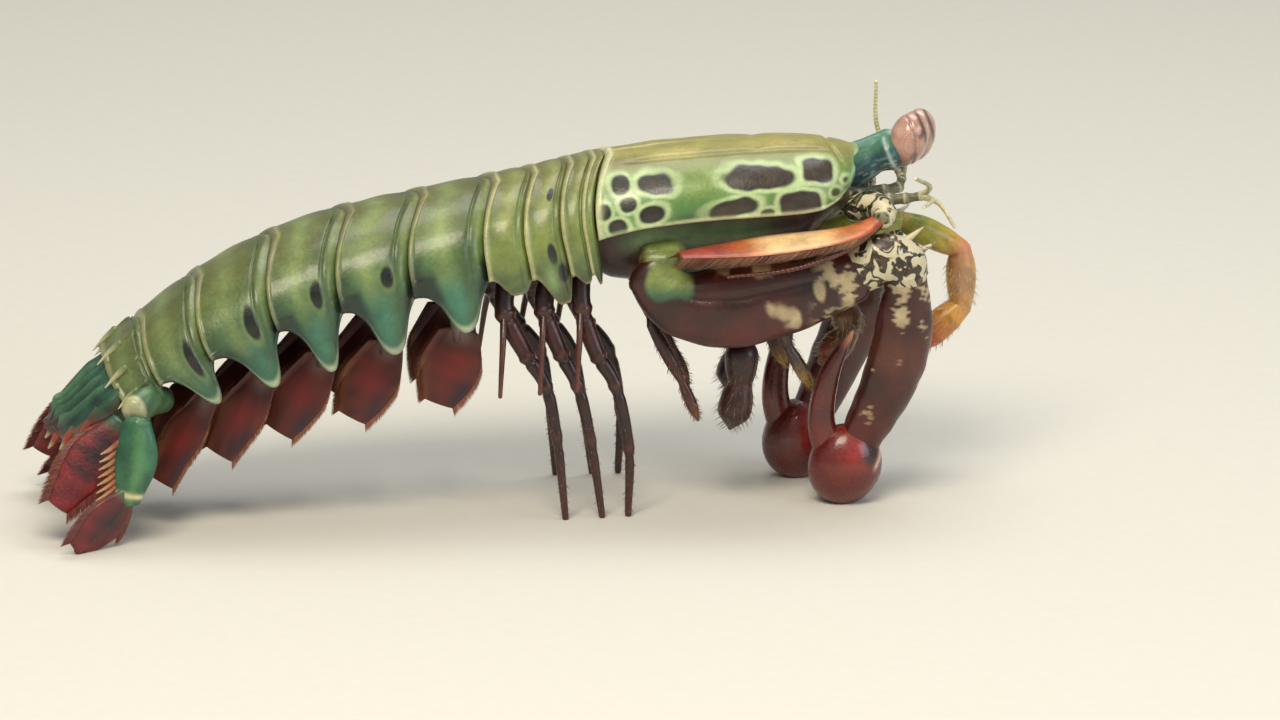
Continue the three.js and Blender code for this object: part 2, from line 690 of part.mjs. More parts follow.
// Walking legs: a stout upper part, a slender lower part and a thin side branch
for (const { sign, word } of sides) {
  for (const { name, ring, root, knees } of legPlan) {
    const spread = sign > 0 ? 1.6 : 0;
    const plan = ringPlan[ring];
    const top = under(root, sign * 5.4, plan.belly - 1);
    const points = knees.map(([x, y, z], k) => at(x + spread * Math.min(1, k / 2), sign * y, z));
    const hip = points[0];
    const leg = taper(
      [top, ...points],
      [3.2, 2.8, 2.3, 1.9, 1.5, 1],
      [3.4, 3, 2.5, 2, 1.6, 1],
      { steps: 10, around: 6 },
    );
    const branch = taper(
      [hip, at(hip.x - 0.6, sign * 10.4, hip.z - 4), at(hip.x - 1.4, sign * 13, hip.z - 12)],
      [1.3, 1, 0.6],
      [1.3, 1, 0.6],
      { around: 5, steps: 3 },
    );
    const bodies = [ring - 1, ring, ring + 1].map((k) => bodyRing(k, jointGap));
    put(`${name}_${word}`, cut(join([leg, branch]), [ground, ...bodies]), maroon);
  }
}

// Swimming legs: a short stalk and two flaps under each of the first five abdominal rings
const swimCount = 5;
for (const { sign, word } of sides) {
  for (let k = 0; k < swimCount; k += 1) {
    const ring = abdomenStart + k;
    const plan = ringPlan[ring];
    const x = (ringPlan[ring - 1].rear + plan.rear) / 2;
    const size = (plan.belly / ringPlan[abdomenStart].belly) * (1 - 0.05 * k);
    const deep = (part) => plan.belly + part * size;
    const sweep = 1.4 + 1.1 * k;
    const stalk = taper(
      [
        under(x, sign * 5.6, plan.belly - 0.6),
        under(x, sign * 6.2, deep(5), 0.3),
        under(x, sign * 7, deep(9.2), 1),
      ],
      [3.4, 3, 2.6],
      [2.4, 1.9, 1.5],
      { steps: 2, around: 6 },
    );
    const flaps = [0, 1].map((inner) => taper(
      [
        under(x, sign * (7 - inner), deep(8), 0.5),
        under(x, sign * (7.6 - 3 * inner), deep(12.4), 1.2 + sweep),
        under(x, sign * (7.4 - 3.4 * inner), deep(18.4), 2.6 + 2 * sweep),
      ],
      [6.4 * size, 9.6 * size, 5],
      [1.2, 1, 0.7],
      { across: at(0.9, sign * (0.35 - 0.7 * inner), 0.1), steps: 3, around: 6 },
    ));
    put(`pleopod_${k + 1}_${word}`, cut(join([stalk, ...flaps]), [bodyRing(ring, jointGap)]), red);
  }
}

// The origin goes to the floor under the middle of the animal.
const bounds = new THREE.Box3().setFromObject(shrimp);
const middleOf = bounds.getCenter(at(0, 0, 0));
for (const mesh of shrimp.children) {
  mesh.geometry.translate(-middleOf.x, -middleOf.y, -bounds.min.z);
}

export default shrimp;
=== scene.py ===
# Peacock mantis shrimp at life size: its shell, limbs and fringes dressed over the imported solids.
# Shapes are worked out in millimetres in the part's drawing frame; each piece is made in metres.
import bpy
import numpy as np
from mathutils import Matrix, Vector


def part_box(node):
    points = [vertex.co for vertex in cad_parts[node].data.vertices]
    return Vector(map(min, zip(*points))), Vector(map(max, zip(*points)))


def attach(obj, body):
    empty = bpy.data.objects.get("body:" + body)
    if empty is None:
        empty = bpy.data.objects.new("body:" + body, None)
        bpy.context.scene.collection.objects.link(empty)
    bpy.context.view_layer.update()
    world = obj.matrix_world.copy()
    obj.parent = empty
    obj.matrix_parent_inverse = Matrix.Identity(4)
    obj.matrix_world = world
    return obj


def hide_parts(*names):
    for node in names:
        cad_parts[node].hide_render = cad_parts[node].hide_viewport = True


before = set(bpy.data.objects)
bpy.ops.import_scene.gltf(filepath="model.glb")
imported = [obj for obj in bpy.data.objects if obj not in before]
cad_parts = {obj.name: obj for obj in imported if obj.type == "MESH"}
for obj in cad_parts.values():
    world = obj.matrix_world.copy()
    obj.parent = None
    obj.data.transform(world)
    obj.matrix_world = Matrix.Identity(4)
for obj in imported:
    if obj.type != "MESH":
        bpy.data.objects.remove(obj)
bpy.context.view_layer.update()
random = np.random.default_rng(7)
eyeCentres = {"right": (63.3, -5.2, 55.6), "left": (66.2, 5.2, 53.4)}
eyeLow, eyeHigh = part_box("eye_right")
shift = np.array((eyeLow + eyeHigh) * 500) - np.array(eyeCentres["right"])  # drawing frame to row frame
sides = (("right", -1), ("left", 1))
print("stage: frame loaded, drawing frame moved by", shift.round(2))


# Numbers and colours

# An sRGB hex value turned to linear light, channel by channel.
def linear(code):
    value = np.array([int(code[i:i + 2], 16) for i in (1, 3, 5)]) / 255
    return np.where(value <= 0.04045, value / 12.92, ((value + 0.055) / 1.055) ** 2.4)


# 0 below low, 1 above high, and an even S between them.
def ease(low, high, value):
    t = np.clip((value - low) / (high - low), 0, 1)
    return t * t * (3 - 2 * t)


# 1 at the centre and falling off as a bell on both sides, with its half width given.
def bell(value, centre, width):
    return np.exp(-((value - centre) / width) ** 2)


# Each colour moves towards the hex colour by its mask, which runs from 0 to 1.
def paint(base, code, mask):
    return base + (linear(code) - base) * np.clip(mask, 0, 1)[..., None]


# Two colours blended by a mask of any shape.
def mixed(first, second, mask):
    return linear(first) + (linear(second) - linear(first)) * np.clip(mask, 0, 1)[..., None]


# A smooth wandering number of about -1 to 1 at each point: four sines along turned directions.
def wander(points, size, seed=0):
    turn = np.random.default_rng(seed).normal(size=(4, 3))
    phase = np.random.default_rng(seed + 50).uniform(0, 6.28, 4)
    waves = np.sin(points @ (turn.T * 2.2 / size) + phase)
    return waves.mean(-1) * 1.4


# Two colours mixed evenly by clouds of the given size.
def clouded(first, second, points, size, seed):
    return mixed(first, second, 0.5 + 0.5 * wander(points, size, seed))


# Distance outside an oval of the given half sizes and squareness, leaned by an angle, in millimetres.
def outsideOval(x, z, centreX, centreZ, long, high, lean=0.0, power=2.4):
    c, s = np.cos(lean), np.sin(lean)
    u = ((x - centreX) * c + (z - centreZ) * s) / long
    v = ((z - centreZ) * c - (x - centreX) * s) / high
    return ((np.abs(u) ** power + np.abs(v) ** power) ** (1 / power) - 1) * min(long, high)


# Lines and surfaces

# Centripetal Catmull-Rom line through the points, read at t from 0 to 1.
def smoothLine(points, t):
    p = np.array(points, float)
    p = np.vstack([2 * p[0] - p[1], p, 2 * p[-1] - p[-2]])
    spans = len(p) - 3
    place = np.clip(t, 0, 1) * spans
    k = np.minimum(place.astype(int), spans - 1)
    w = (place - k)[:, None]
    a, b, c, d = p[k], p[k + 1], p[k + 2], p[k + 3]
    ab, bc, cd = [np.maximum(((n - m) ** 2).sum(-1, keepdims=True) ** 0.25, 1e-4)
                  for m, n in ((a, b), (b, c), (c, d))]
    leave = ((b - a) / ab - (c - a) / (ab + bc) + (c - b) / bc) * bc
    reach = ((c - b) / bc - (d - b) / (bc + cd) + (d - c) / cd) * bc
    square = 3 * (c - b) - 2 * leave - reach
    return b + w * leave + w ** 2 * square + w ** 3 * (2 * (b - c) + leave + reach)


# A row of numbers spread evenly over 0 to 1, read smoothly at t.
def smoothRow(row, t):
    p = np.array([2 * row[0] - row[1], *row, 2 * row[-1] - row[-2]], float)
    place = np.clip(t, 0, 1) * (len(row) - 1)
    k = np.minimum(place.astype(int), len(row) - 2)
    w = place - k
    a, b, c, d = p[k], p[k + 1], p[k + 2], p[k + 3]
    square = a - 2.5 * b + 2 * c - d / 2
    return b + w * (c - a) / 2 + w ** 2 * square + w ** 3 * ((d - a) / 2 + 1.5 * (b - c))


# Each vector over its own length.
def unit(v):
    return v / np.maximum(np.linalg.norm(v, axis=-1, keepdims=True), 1e-9)


# Faces of a grid of rows by cols, closed round the columns if asked.
def gridFaces(rows, cols, closed=False):
    i, j = np.meshgrid(np.arange(rows - 1), np.arange(cols if closed else cols - 1), indexing="ij")
    here, after = i * cols + j, i * cols + (j + 1) % cols
    return np.stack([here, after, after + cols, here + cols], -1).reshape(-1, 4)


# A cosine or sine to the power of 2 / power with its sign kept: above 2 it squares an oval up.
def squared(value, power):
    return np.sign(value) * np.abs(value) ** (2 / power)


# A limb: superellipse sections carried along a smooth line, wide across one direction, with both
# ends rounded off by domes of rings that shrink as a quarter circle. Returns points, t, angle.
def limbGrid(path, widths, depths, across=(0, 1, 0), rows=40, cols=28, power=2.0, dome=5):
    t = np.concatenate([np.zeros(dome), np.linspace(0, 1, rows), np.ones(dome)])
    lift = np.concatenate([np.linspace(86, 15, dome), np.zeros(rows), np.linspace(15, 86, dome)])
    side = np.concatenate([-np.ones(dome), np.zeros(rows), np.ones(dome)])
    fine = np.linspace(0, 1, 400)
    line = smoothLine(path, fine)
    slope = np.gradient(line, axis=0)
    middle = np.stack([np.interp(t, fine, line[:, k]) for k in range(3)], -1)
    forward = unit(np.stack([np.interp(t, fine, slope[:, k]) for k in range(3)], -1))
    wide = unit(np.array(across) - forward * (forward @ np.array(across, float))[:, None])
    deep = np.cross(forward, wide)
    w, d = smoothRow(widths, t) / 2, smoothRow(depths, t) / 2
    shrink = np.cos(np.radians(lift))
    middle = middle + forward * (side * np.sin(np.radians(lift)) * np.minimum(w, d) * 0.8)[:, None]
    angle = np.linspace(0, 2 * np.pi, cols, endpoint=False)
    c, s = squared(np.cos(angle), power), squared(np.sin(angle), power)
    points = (middle[:, None] + wide[:, None] * (w * shrink)[:, None, None] * c[None, :, None]
              + deep[:, None] * (d * shrink)[:, None, None] * s[None, :, None])
    return points, np.broadcast_to(t[:, None], points.shape[:2]), np.broadcast_to(angle, points.shape[:2])


# A limb's surface moved out from the middle of its rings by millimetres.
def raised(points, amount):
    return points + unit(points - points.mean(1, keepdims=True)) * amount[..., None]


# A limb's rings made wider about their middles by a factor.
def swollen(points, factor):
    axis = points.mean(1, keepdims=True)
    return axis + (points - axis) * factor[..., None]


# A ball of radius 1 in rings from its top to its underside, open 2 degrees round each pole.
def ballGrid(rows, cols):
    down, turn = np.meshgrid(np.radians(np.linspace(2, 178, rows)),
                             np.linspace(0, 2 * np.pi, cols, endpoint=False), indexing="ij")
    return np.stack([np.sin(down) * np.cos(turn), np.sin(down) * np.sin(turn), np.cos(down)], -1)


# Points turned about Y by an angle, so that their tops lean forward.
def leaned(points, lean):
    x, y, z = points[..., 0], points[..., 1], points[..., 2]
    return np.stack([x * np.cos(lean) + z * np.sin(lean), y, -x * np.sin(lean) + z * np.cos(lean)], -1)


# Places on the map for a grid, row by row, inside a margin of 0.02.
def mapPlaces(rows, cols):
    v, u = np.meshgrid(np.linspace(0.02, 0.98, rows), np.linspace(0.02, 0.98, cols), indexing="ij")
    return np.stack([u, v], -1).reshape(-1, 2)


# A limb's grid closed by a fan of triangles from the middle of the ring at each end.
# It returns a part, as closePlate and bristles do: points, faces by size, colours, map places.
def closeLimb(points, tint):
    rows, cols = points.shape[:2]
    flat = np.vstack([points.reshape(-1, 3), points[0].mean(0), points[-1].mean(0)])
    colours = np.vstack([tint.reshape(-1, 3), tint[0].mean(0), tint[-1].mean(0)])
    ring = np.arange(cols)
    after, start = (ring + 1) % cols, (rows - 1) * cols
    first = np.stack([np.full(cols, rows * cols), after, ring], -1)
    last = np.stack([np.full(cols, rows * cols + 1), start + ring, start + after], -1)
    places = np.vstack([mapPlaces(rows, cols), [[0.5, 0.01], [0.5, 0.99]]])
    return flat, [gridFaces(rows, cols, True), np.vstack([first, last])], colours, places


# A spine: a thin limb from its root to its end, lifted in the middle, that runs to its tip's colour.
def spine(root, end, lift, wide, deep, colours, fine=10):
    root, end = np.array(root), np.array(end)
    points, t, _ = limbGrid([root, (root + end) / 2 + [0, 0, lift], end], wide, deep,
                            rows=fine, cols=fine, dome=3)
    return closeLimb(points, mixed(*colours, t))


# A plate: an outer and an inner grid of the same size, joined by strips round their four edges.
def closePlate(outer, inner, tint, innerTint):
    rows, cols = outer.shape[:2]
    count = rows * cols
    index = np.arange(count).reshape(rows, cols)
    loop = np.concatenate([index[0, :-1], index[:-1, -1], index[-1, :0:-1], index[:0:-1, 0]])
    edge = np.stack([loop, np.roll(loop, -1), np.roll(loop, -1) + count, loop + count], -1)
    faces = np.vstack([gridFaces(rows, cols)[:, ::-1], gridFaces(rows, cols) + count, edge])
    points = np.vstack([outer.reshape(-1, 3), inner.reshape(-1, 3)])
    colours = np.vstack([tint.reshape(-1, 3), np.broadcast_to(innerTint, (count, 3))])
    return points, [faces], colours, np.vstack([mapPlaces(rows, cols)] * 2)


# Bristles: each a three-sided spike from its root along its way, bent by a share of its length.
# A bristle's place on the map is a patch 0.003 across at its root's place on the blade's own map.
def bristles(roots, ways, lengths, thick, bend, tint, rootPlaces):
    n = len(roots)
    side = unit(np.cross(ways, ways[:, [1, 2, 0]] + 0.3))
    other = np.cross(ways, side)
    turns = np.radians([0, 120, 240])
    spread = side[:, None] * np.cos(turns)[None, :, None] + other[:, None] * np.sin(turns)[None, :, None]
    middle = roots + ways * lengths[:, None] * 0.55 + bend * 0.3
    tip = roots + ways * lengths[:, None] + bend
    ring = roots[:, None] + spread * thick / 2
    waist = middle[:, None] + spread * thick * 0.36
    points = np.concatenate([ring, waist, tip[:, None]], 1).reshape(-1, 3)
    base = (np.arange(n) * 7)[:, None]
    edges = ((0, 1), (1, 2), (2, 0))
    quads = np.concatenate([base + [[a, b, 3 + b, 3 + a]] for a, b in edges])
    tris = np.concatenate([base + [[3 + a, 3 + b, 6]] for a, b in edges] + [base + [[0, 2, 1]]])
    patch = np.array([[0, 0], [1, 0], [0.5, 0.5], [0, 0.5], [1, 0.5], [0.5, 1], [0.5, 1]]) * 0.003
    places = (rootPlaces[:, None] + patch[None]).reshape(-1, 2)
    return points, [quads, tris], np.repeat(tint, 7, axis=0), places


# A blade's middle line at s, the ways forward and out to its edge there, and its half widths.
def bladeEdge(path, wideRow, across, s):
    line = smoothLine(path, s)
    forward = unit(np.gradient(line, axis=0))
    out = unit(np.array(across) - forward * (forward @ np.array(across, float))[:, None])
    return line, forward, out, smoothRow(wideRow, s)[:, None] / 2


# Map places for bristles along one edge of a blade, and for bristles round a limb.
def edgePlaces(edge, s):
    return np.column_stack([np.full(len(s), 0.25 + 0.5 * (edge > 0)), 0.02 + 0.95 * s])


def roundPlaces(around, s):
    return np.column_stack([0.05 + 0.9 * around / 6.3, 0.05 + 0.9 * s])


# Parts set one after another in one list, each one's faces moved on by the points before it.
def joined(parts):
    points, faces, colours, places, start = [], {3: [], 4: []}, [], [], 0
    for p, groups, c, m in parts:
        for group in groups:
            faces[group.shape[1]].append(group + start)
        points.append(p)
        colours.append(c)
        places.append(m)
        start += len(p)
    groups = [np.vstack(faces[k]) for k in (4, 3) if faces[k]]
    return np.vstack(points), groups, np.vstack(colours), np.vstack(places)


# True where faces point inwards: the volumes from the origin to each triangle sum to less than 0.
def turnedIn(points, groups):
    total = 0
    for group in groups:
        a = points[group[:, 0]]
        for k in range(1, group.shape[1] - 1):
            total += np.einsum("ij,ij->i", a, np.cross(points[group[:, k]], points[group[:, k + 1]])).sum()
    return total < 0


# Puts parts into one named mesh in metres, with a colour per vertex and a map, and hides the imported parts
# that it stands for.
def makePiece(name, parts, material, nodes=(), sharp=40):
    if isinstance(parts, tuple):
        parts = [parts]
    checked = []
    for points, groups, colours, places in parts:
        if turnedIn(points - points.mean(0), groups):
            groups = [group[:, ::-1] for group in groups]
        checked.append((points, groups, colours, places))
    points, groups, colours, places = joined(checked)
    mesh = bpy.data.meshes.new(name)
    mesh.from_pydata(((points + shift) / 1000).tolist(), [], [f for g in groups for f in g.tolist()])
    tint = mesh.color_attributes.new("tint", "FLOAT_COLOR", "POINT")
    rgba = np.column_stack([colours, np.ones(len(colours))])
    tint.data.foreach_set("color", rgba.ravel().astype(np.float32))
    chart = mesh.uv_layers.new(name="OFBake")
    corner = np.empty(len(mesh.loops), np.int32)
    mesh.loops.foreach_get("vertex_index", corner)
    chart.data.foreach_set("uv", places[corner].ravel().astype(np.float32))
    mesh.shade_smooth()
    mesh.set_sharp_from_angle(angle=np.radians(sharp))
    mesh.materials.append(material)
    piece = bpy.data.objects.new(name, mesh)
    bpy.context.scene.collection.objects.link(piece)
    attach(piece, "root")
    if nodes:
        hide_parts(*nodes)
    return piece


# Materials

# Adds one node, sets its own settings, then its input values, then its incoming links.
def addNode(tree, kind, settings=(), values=(), links=()):
    node = tree.nodes.new(kind)
    for key, value in dict(settings).items():
        setattr(node, key, value)
    for key, value in dict(values).items():
        node.inputs[key].default_value = value
    for key, socket in dict(links).items():
        tree.links.new(socket, node.inputs[key])
    return node


# A new material: itself, its tree, its surface node and the place of each point on the object.
def shader(name):
    material = bpy.data.materials.new(name)
    material.use_nodes = True
    tree = material.node_tree
    place = addNode(tree, "ShaderNodeTexCoord").outputs["Object"]
    return material, tree, tree.nodes["Principled BSDF"], place


# Waxed, pigmented crustacean shell: colour from the piece's own tint, clouded at two sizes,
# with pores and faint growth wrinkles, under a clear wet coat that gives long soft highlights.
def shellMaterial(name, cloud=0.3, pore=0.25, roughness=0.34, coat=0.5, coatRoughness=0.16, bump=0.25):
    material, tree, surface, place = shader(name)
    tint = addNode(tree, "ShaderNodeVertexColor", {"layer_name": "tint"}).outputs["Color"]
    broad = addNode(tree, "ShaderNodeTexNoise", {}, {"Scale": 1000 / 3.2, "Detail": 5, "Roughness": 0.6},
                    {"Vector": place})  # clouds 3.2 mm across
    fine = addNode(tree, "ShaderNodeTexNoise", {}, {"Scale": 1000 / 0.55, "Detail": 3, "Roughness": 0.55},
                   {"Vector": place})  # grain 0.55 mm across
    pores = addNode(tree, "ShaderNodeTexVoronoi", {"feature": "F1"}, {"Scale": 1000 / 0.5},
                    {"Vector": place})  # pores 0.5 mm apart, drawn coarser than real ones to show
    shade = addNode(tree, "ShaderNodeMapRange", {}, {"From Min": 0.3, "From Max": 0.7, "To Min": 1 - cloud,
                    "To Max": 1 + cloud * 0.8}, {"Value": broad.outputs["Fac"]})
    grain = addNode(tree, "ShaderNodeMapRange", {}, {"From Min": 0.25, "From Max": 0.75, "To Min": 0.88,
                    "To Max": 1.1}, {"Value": fine.outputs["Fac"]})
    both = addNode(tree, "ShaderNodeMath", {"operation": "MULTIPLY"}, {}, {0: shade.outputs["Result"],
                   1: grain.outputs["Result"]})
    colour = addNode(tree, "ShaderNodeVectorMath", {"operation": "SCALE"}, {},
                     {0: tint, "Scale": both.outputs[0]})
    tree.links.new(colour.outputs["Vector"], surface.inputs["Base Color"])
    dull = addNode(tree, "ShaderNodeMapRange", {}, {"From Min": 0.3, "From Max": 0.7,
                   "To Min": roughness - 0.08, "To Max": roughness + 0.12}, {"Value": fine.outputs["Fac"]})
    tree.links.new(dull.outputs["Result"], surface.inputs["Roughness"])
    dimple = addNode(tree, "ShaderNodeMapRange", {}, {"From Min": 0.0, "From Max": 0.28, "To Min": 1 - pore,
                     "To Max": 1.0}, {"Value": pores.outputs["Distance"]})
    height = addNode(tree, "ShaderNodeMath", {"operation": "ADD"}, {}, {0: dimple.outputs["Result"],
                     1: fine.outputs["Fac"]})
    relief = addNode(tree, "ShaderNodeBump", {}, {"Strength": bump, "Distance": 0.0003},
                     {"Height": height.outputs[0]})
    tree.links.new(relief.outputs["Normal"], surface.inputs["Normal"])
    surface.inputs["IOR"].default_value = 1.5
    surface.inputs["Coat Weight"].default_value = coat
    surface.inputs["Coat Roughness"].default_value = coatRoughness
    surface.inputs["Subsurface Weight"].default_value = 0.0
    return material


# Mottled chitin: the tint broken by cream blotches with sharp rims and brown islands inside them.
def mottledMaterial(name, blotch=2.3, cream="#cdc3a0", dark="#1f1810", amount=0.5, coat=0.3):
    material, tree, surface, place = shader(name)
    tint = addNode(tree, "ShaderNodeVertexColor", {"layer_name": "tint"}).outputs["Color"]
    blotches = addNode(tree, "ShaderNodeTexNoise", {}, {"Scale": 1000 / blotch, "Detail": 2.0,
                       "Roughness": 0.45, "Distortion": 1.3}, {"Vector": place})  # drawn out, 2.3 mm apart
    islands = addNode(tree, "ShaderNodeTexNoise", {}, {"Scale": 1000 / 0.9, "Detail": 4, "Roughness": 0.65},
                      {"Vector": place})  # islands 0.9 mm across
    spot = addNode(tree, "ShaderNodeMapRange", {"interpolation_type": "SMOOTHSTEP"},
                   {"From Min": amount - 0.01, "From Max": amount + 0.05, "To Min": 0, "To Max": 1},
                   {"Value": blotches.outputs["Fac"]})
    speck = addNode(tree, "ShaderNodeMapRange", {"interpolation_type": "SMOOTHSTEP"},
                    {"From Min": 0.46, "From Max": 0.58, "To Min": 0, "To Max": 1},
                    {"Value": islands.outputs["Fac"]})
    darker = addNode(tree, "ShaderNodeMix", {"data_type": "RGBA"}, {7: (*linear(dark), 1)},
                     {0: speck.outputs["Result"], 6: tint})
    colour = addNode(tree, "ShaderNodeMix", {"data_type": "RGBA"}, {7: (*linear(cream), 1)},
                     {0: spot.outputs["Result"], 6: darker.outputs[2]})
    tree.links.new(colour.outputs[2], surface.inputs["Base Color"])
    dull = addNode(tree, "ShaderNodeMapRange", {}, {"From Min": 0.3, "From Max": 0.7, "To Min": 0.3,
                   "To Max": 0.5}, {"Value": islands.outputs["Fac"]})
    tree.links.new(dull.outputs["Result"], surface.inputs["Roughness"])
    relief = addNode(tree, "ShaderNodeBump", {}, {"Strength": 0.4, "Distance": 0.0003},
                     {"Height": islands.outputs["Fac"]})
    tree.links.new(relief.outputs["Normal"], surface.inputs["Normal"])
    surface.inputs["Coat Weight"].default_value = coat
    surface.inputs["Coat Roughness"].default_value = 0.18
    return material


# Compound eye: a tight lattice of lenses under a clear cornea, which gives one clean highlight.
def eyeMaterial(name):
    material, tree, surface, place = shader(name)
    tint = addNode(tree, "ShaderNodeVertexColor", {"layer_name": "tint"}).outputs["Color"]
    lenses = addNode(tree, "ShaderNodeTexVoronoi", {"feature": "F1"},
                     {"Scale": 1000 / 0.24, "Randomness": 0.3},
                     {"Vector": place})  # lenses 0.24 mm across, twice the real size so that they show
    clouds = addNode(tree, "ShaderNodeTexNoise", {}, {"Scale": 1000 / 1.6, "Detail": 3}, {"Vector": place})
    rim = addNode(tree, "ShaderNodeMapRange", {}, {"From Min": 0.3, "From Max": 0.6, "To Min": 1.06,
                  "To Max": 0.78}, {"Value": lenses.outputs["Distance"]})
    cloud = addNode(tree, "ShaderNodeMapRange", {}, {"From Min": 0.3, "From Max": 0.7, "To Min": 0.85,
                    "To Max": 1.15}, {"Value": clouds.outputs["Fac"]})
    both = addNode(tree, "ShaderNodeMath", {"operation": "MULTIPLY"}, {}, {0: rim.outputs["Result"],
                   1: cloud.outputs["Result"]})
    colour = addNode(tree, "ShaderNodeVectorMath", {"operation": "SCALE"}, {},
                     {0: tint, "Scale": both.outputs[0]})
    tree.links.new(colour.outputs["Vector"], surface.inputs["Base Color"])
    relief = addNode(tree, "ShaderNodeBump", {"invert": True}, {"Strength": 0.25, "Distance": 0.00008},
                     {"Height": lenses.outputs["Distance"]})
    tree.links.new(relief.outputs["Normal"], surface.inputs["Normal"])
    surface.inputs["Roughness"].default_value = 0.3
    surface.inputs["Coat Weight"].default_value = 0.9
    surface.inputs["Coat Roughness"].default_value = 0.06
    return material


# Thin soft chitin of flaps, gills and bristles: light passes in a little, and fine veins show.
def membraneMaterial(name, vein=1.1, roughness=0.42, inside=0.25):
    material, tree, surface, place = shader(name)
    tint = addNode(tree, "ShaderNodeVertexColor", {"layer_name": "tint"}).outputs["Color"]
    veins = addNode(tree, "ShaderNodeTexNoise", {"noise_type": "RIDGED_MULTIFRACTAL"},
                    {"Scale": 1000 / vein / 3, "Detail": 3}, {"Vector": place})
    shade = addNode(tree, "ShaderNodeMapRange", {}, {"From Min": 0.2, "From Max": 1.2, "To Min": 0.8,
                    "To Max": 1.2}, {"Value": veins.outputs["Fac"]})
    colour = addNode(tree, "ShaderNodeVectorMath", {"operation": "SCALE"}, {},
                     {0: tint, "Scale": shade.outputs["Result"]})
    tree.links.new(colour.outputs["Vector"], surface.inputs["Base Color"])
    relief = addNode(tree, "ShaderNodeBump", {}, {"Strength": 0.2, "Distance": 0.0002},
                     {"Height": veins.outputs["Fac"]})
    tree.links.new(relief.outputs["Normal"], surface.inputs["Normal"])
    surface.inputs["Roughness"].default_value = roughness
    surface.inputs["Subsurface Weight"].default_value = inside
    surface.inputs["Subsurface Radius"].default_value = (0.0012, 0.0006, 0.0004)
    surface.inputs["Subsurface Scale"].default_value = 1.0
    return material


carapaceChitin = shellMaterial("waxed carapace chitin", cloud=0.18, pore=0.12, roughness=0.36, coat=0.32)
ringChitin = shellMaterial("waxed body ring chitin", cloud=0.26, pore=0.15, roughness=0.38, coat=0.3)
limbChitin = shellMaterial("polished limb chitin", cloud=0.34, pore=0.12, roughness=0.38, coat=0.28)
clubChitin = shellMaterial("mineralised club chitin", cloud=0.26, pore=0.1, roughness=0.3, coat=0.5,
                           coatRoughness=0.14)
softChitin = shellMaterial("soft belly chitin", cloud=0.35, roughness=0.46, coat=0.2)
mottledChitin = mottledMaterial("mottled face chitin")
cornea = eyeMaterial("clear cornea over lenses")
flapChitin = membraneMaterial("thin flap chitin")
bristleChitin = membraneMaterial("bristle chitin", vein=0.8, roughness=0.5, inside=0.1)
print("stage: materials ready")


# The back and the rings that hang from it

backLine = [(62, 50.2), (57, 53.2), (51, 55.0), (44, 55.5), (30, 55.2), (18, 54.0), (6, 51.5), (-4, 49.8),
            (-14, 48.0), (-24.5, 45.8), (-34, 42.6), (-43, 38.0), (-50, 33.2), (-54.5, 29.4),
            (-58.5, 25.6), (-69, 14.8)]
backCurve = smoothLine([(x, 0, z) for x, z in backLine], np.linspace(0, 1, 4000))[::-1]
backSlope = np.gradient(backCurve, axis=0)
sweepRow = np.array([(-69, 0.4), (-57.8, 2.2), (-52, 3.8), (-43.2, 4.8), (-31.5, 5.2), (-9, 5.2), (1.8, 4.4),
                     (18.3, 4.2), (34, 0)])
archHalf, archDepth, bluntness = 11.5, 8.8, 3  # of the arch that the flanks' sweep follows


# How far a flank lies behind its crest at an X along the back and a depth: it grows with the half
# width of an arch at that depth and stays the same below it.
def sweep(x, depth):
    whole = np.interp(x, sweepRow[:, 0], sweepRow[:, 1])
    left = 1 - np.clip(depth / archDepth, 0, 1)
    wide = archHalf * np.sqrt(1 - left ** 2)
    return whole * (np.hypot(wide, bluntness) - bluntness) / (np.hypot(archHalf, bluntness) - bluntness)


# A point from its X along the back, its Y, and its depth square to the back below the crest.
def under(x, y, depth, rear=0):
    height = np.interp(x, backCurve[:, 0], backCurve[:, 2])
    run, rise = [np.interp(x, backCurve[:, 0], backSlope[:, k]) for k in (0, 2)]
    length = np.hypot(run, rise)
    wayX, wayZ = -run / length, -rise / length
    back = rear + sweep(x, depth)
    outX = x - depth * wayZ + back * wayX
    outZ = height + depth * wayX + back * wayZ
    return np.stack(np.broadcast_arrays(outX, y, outZ), -1)


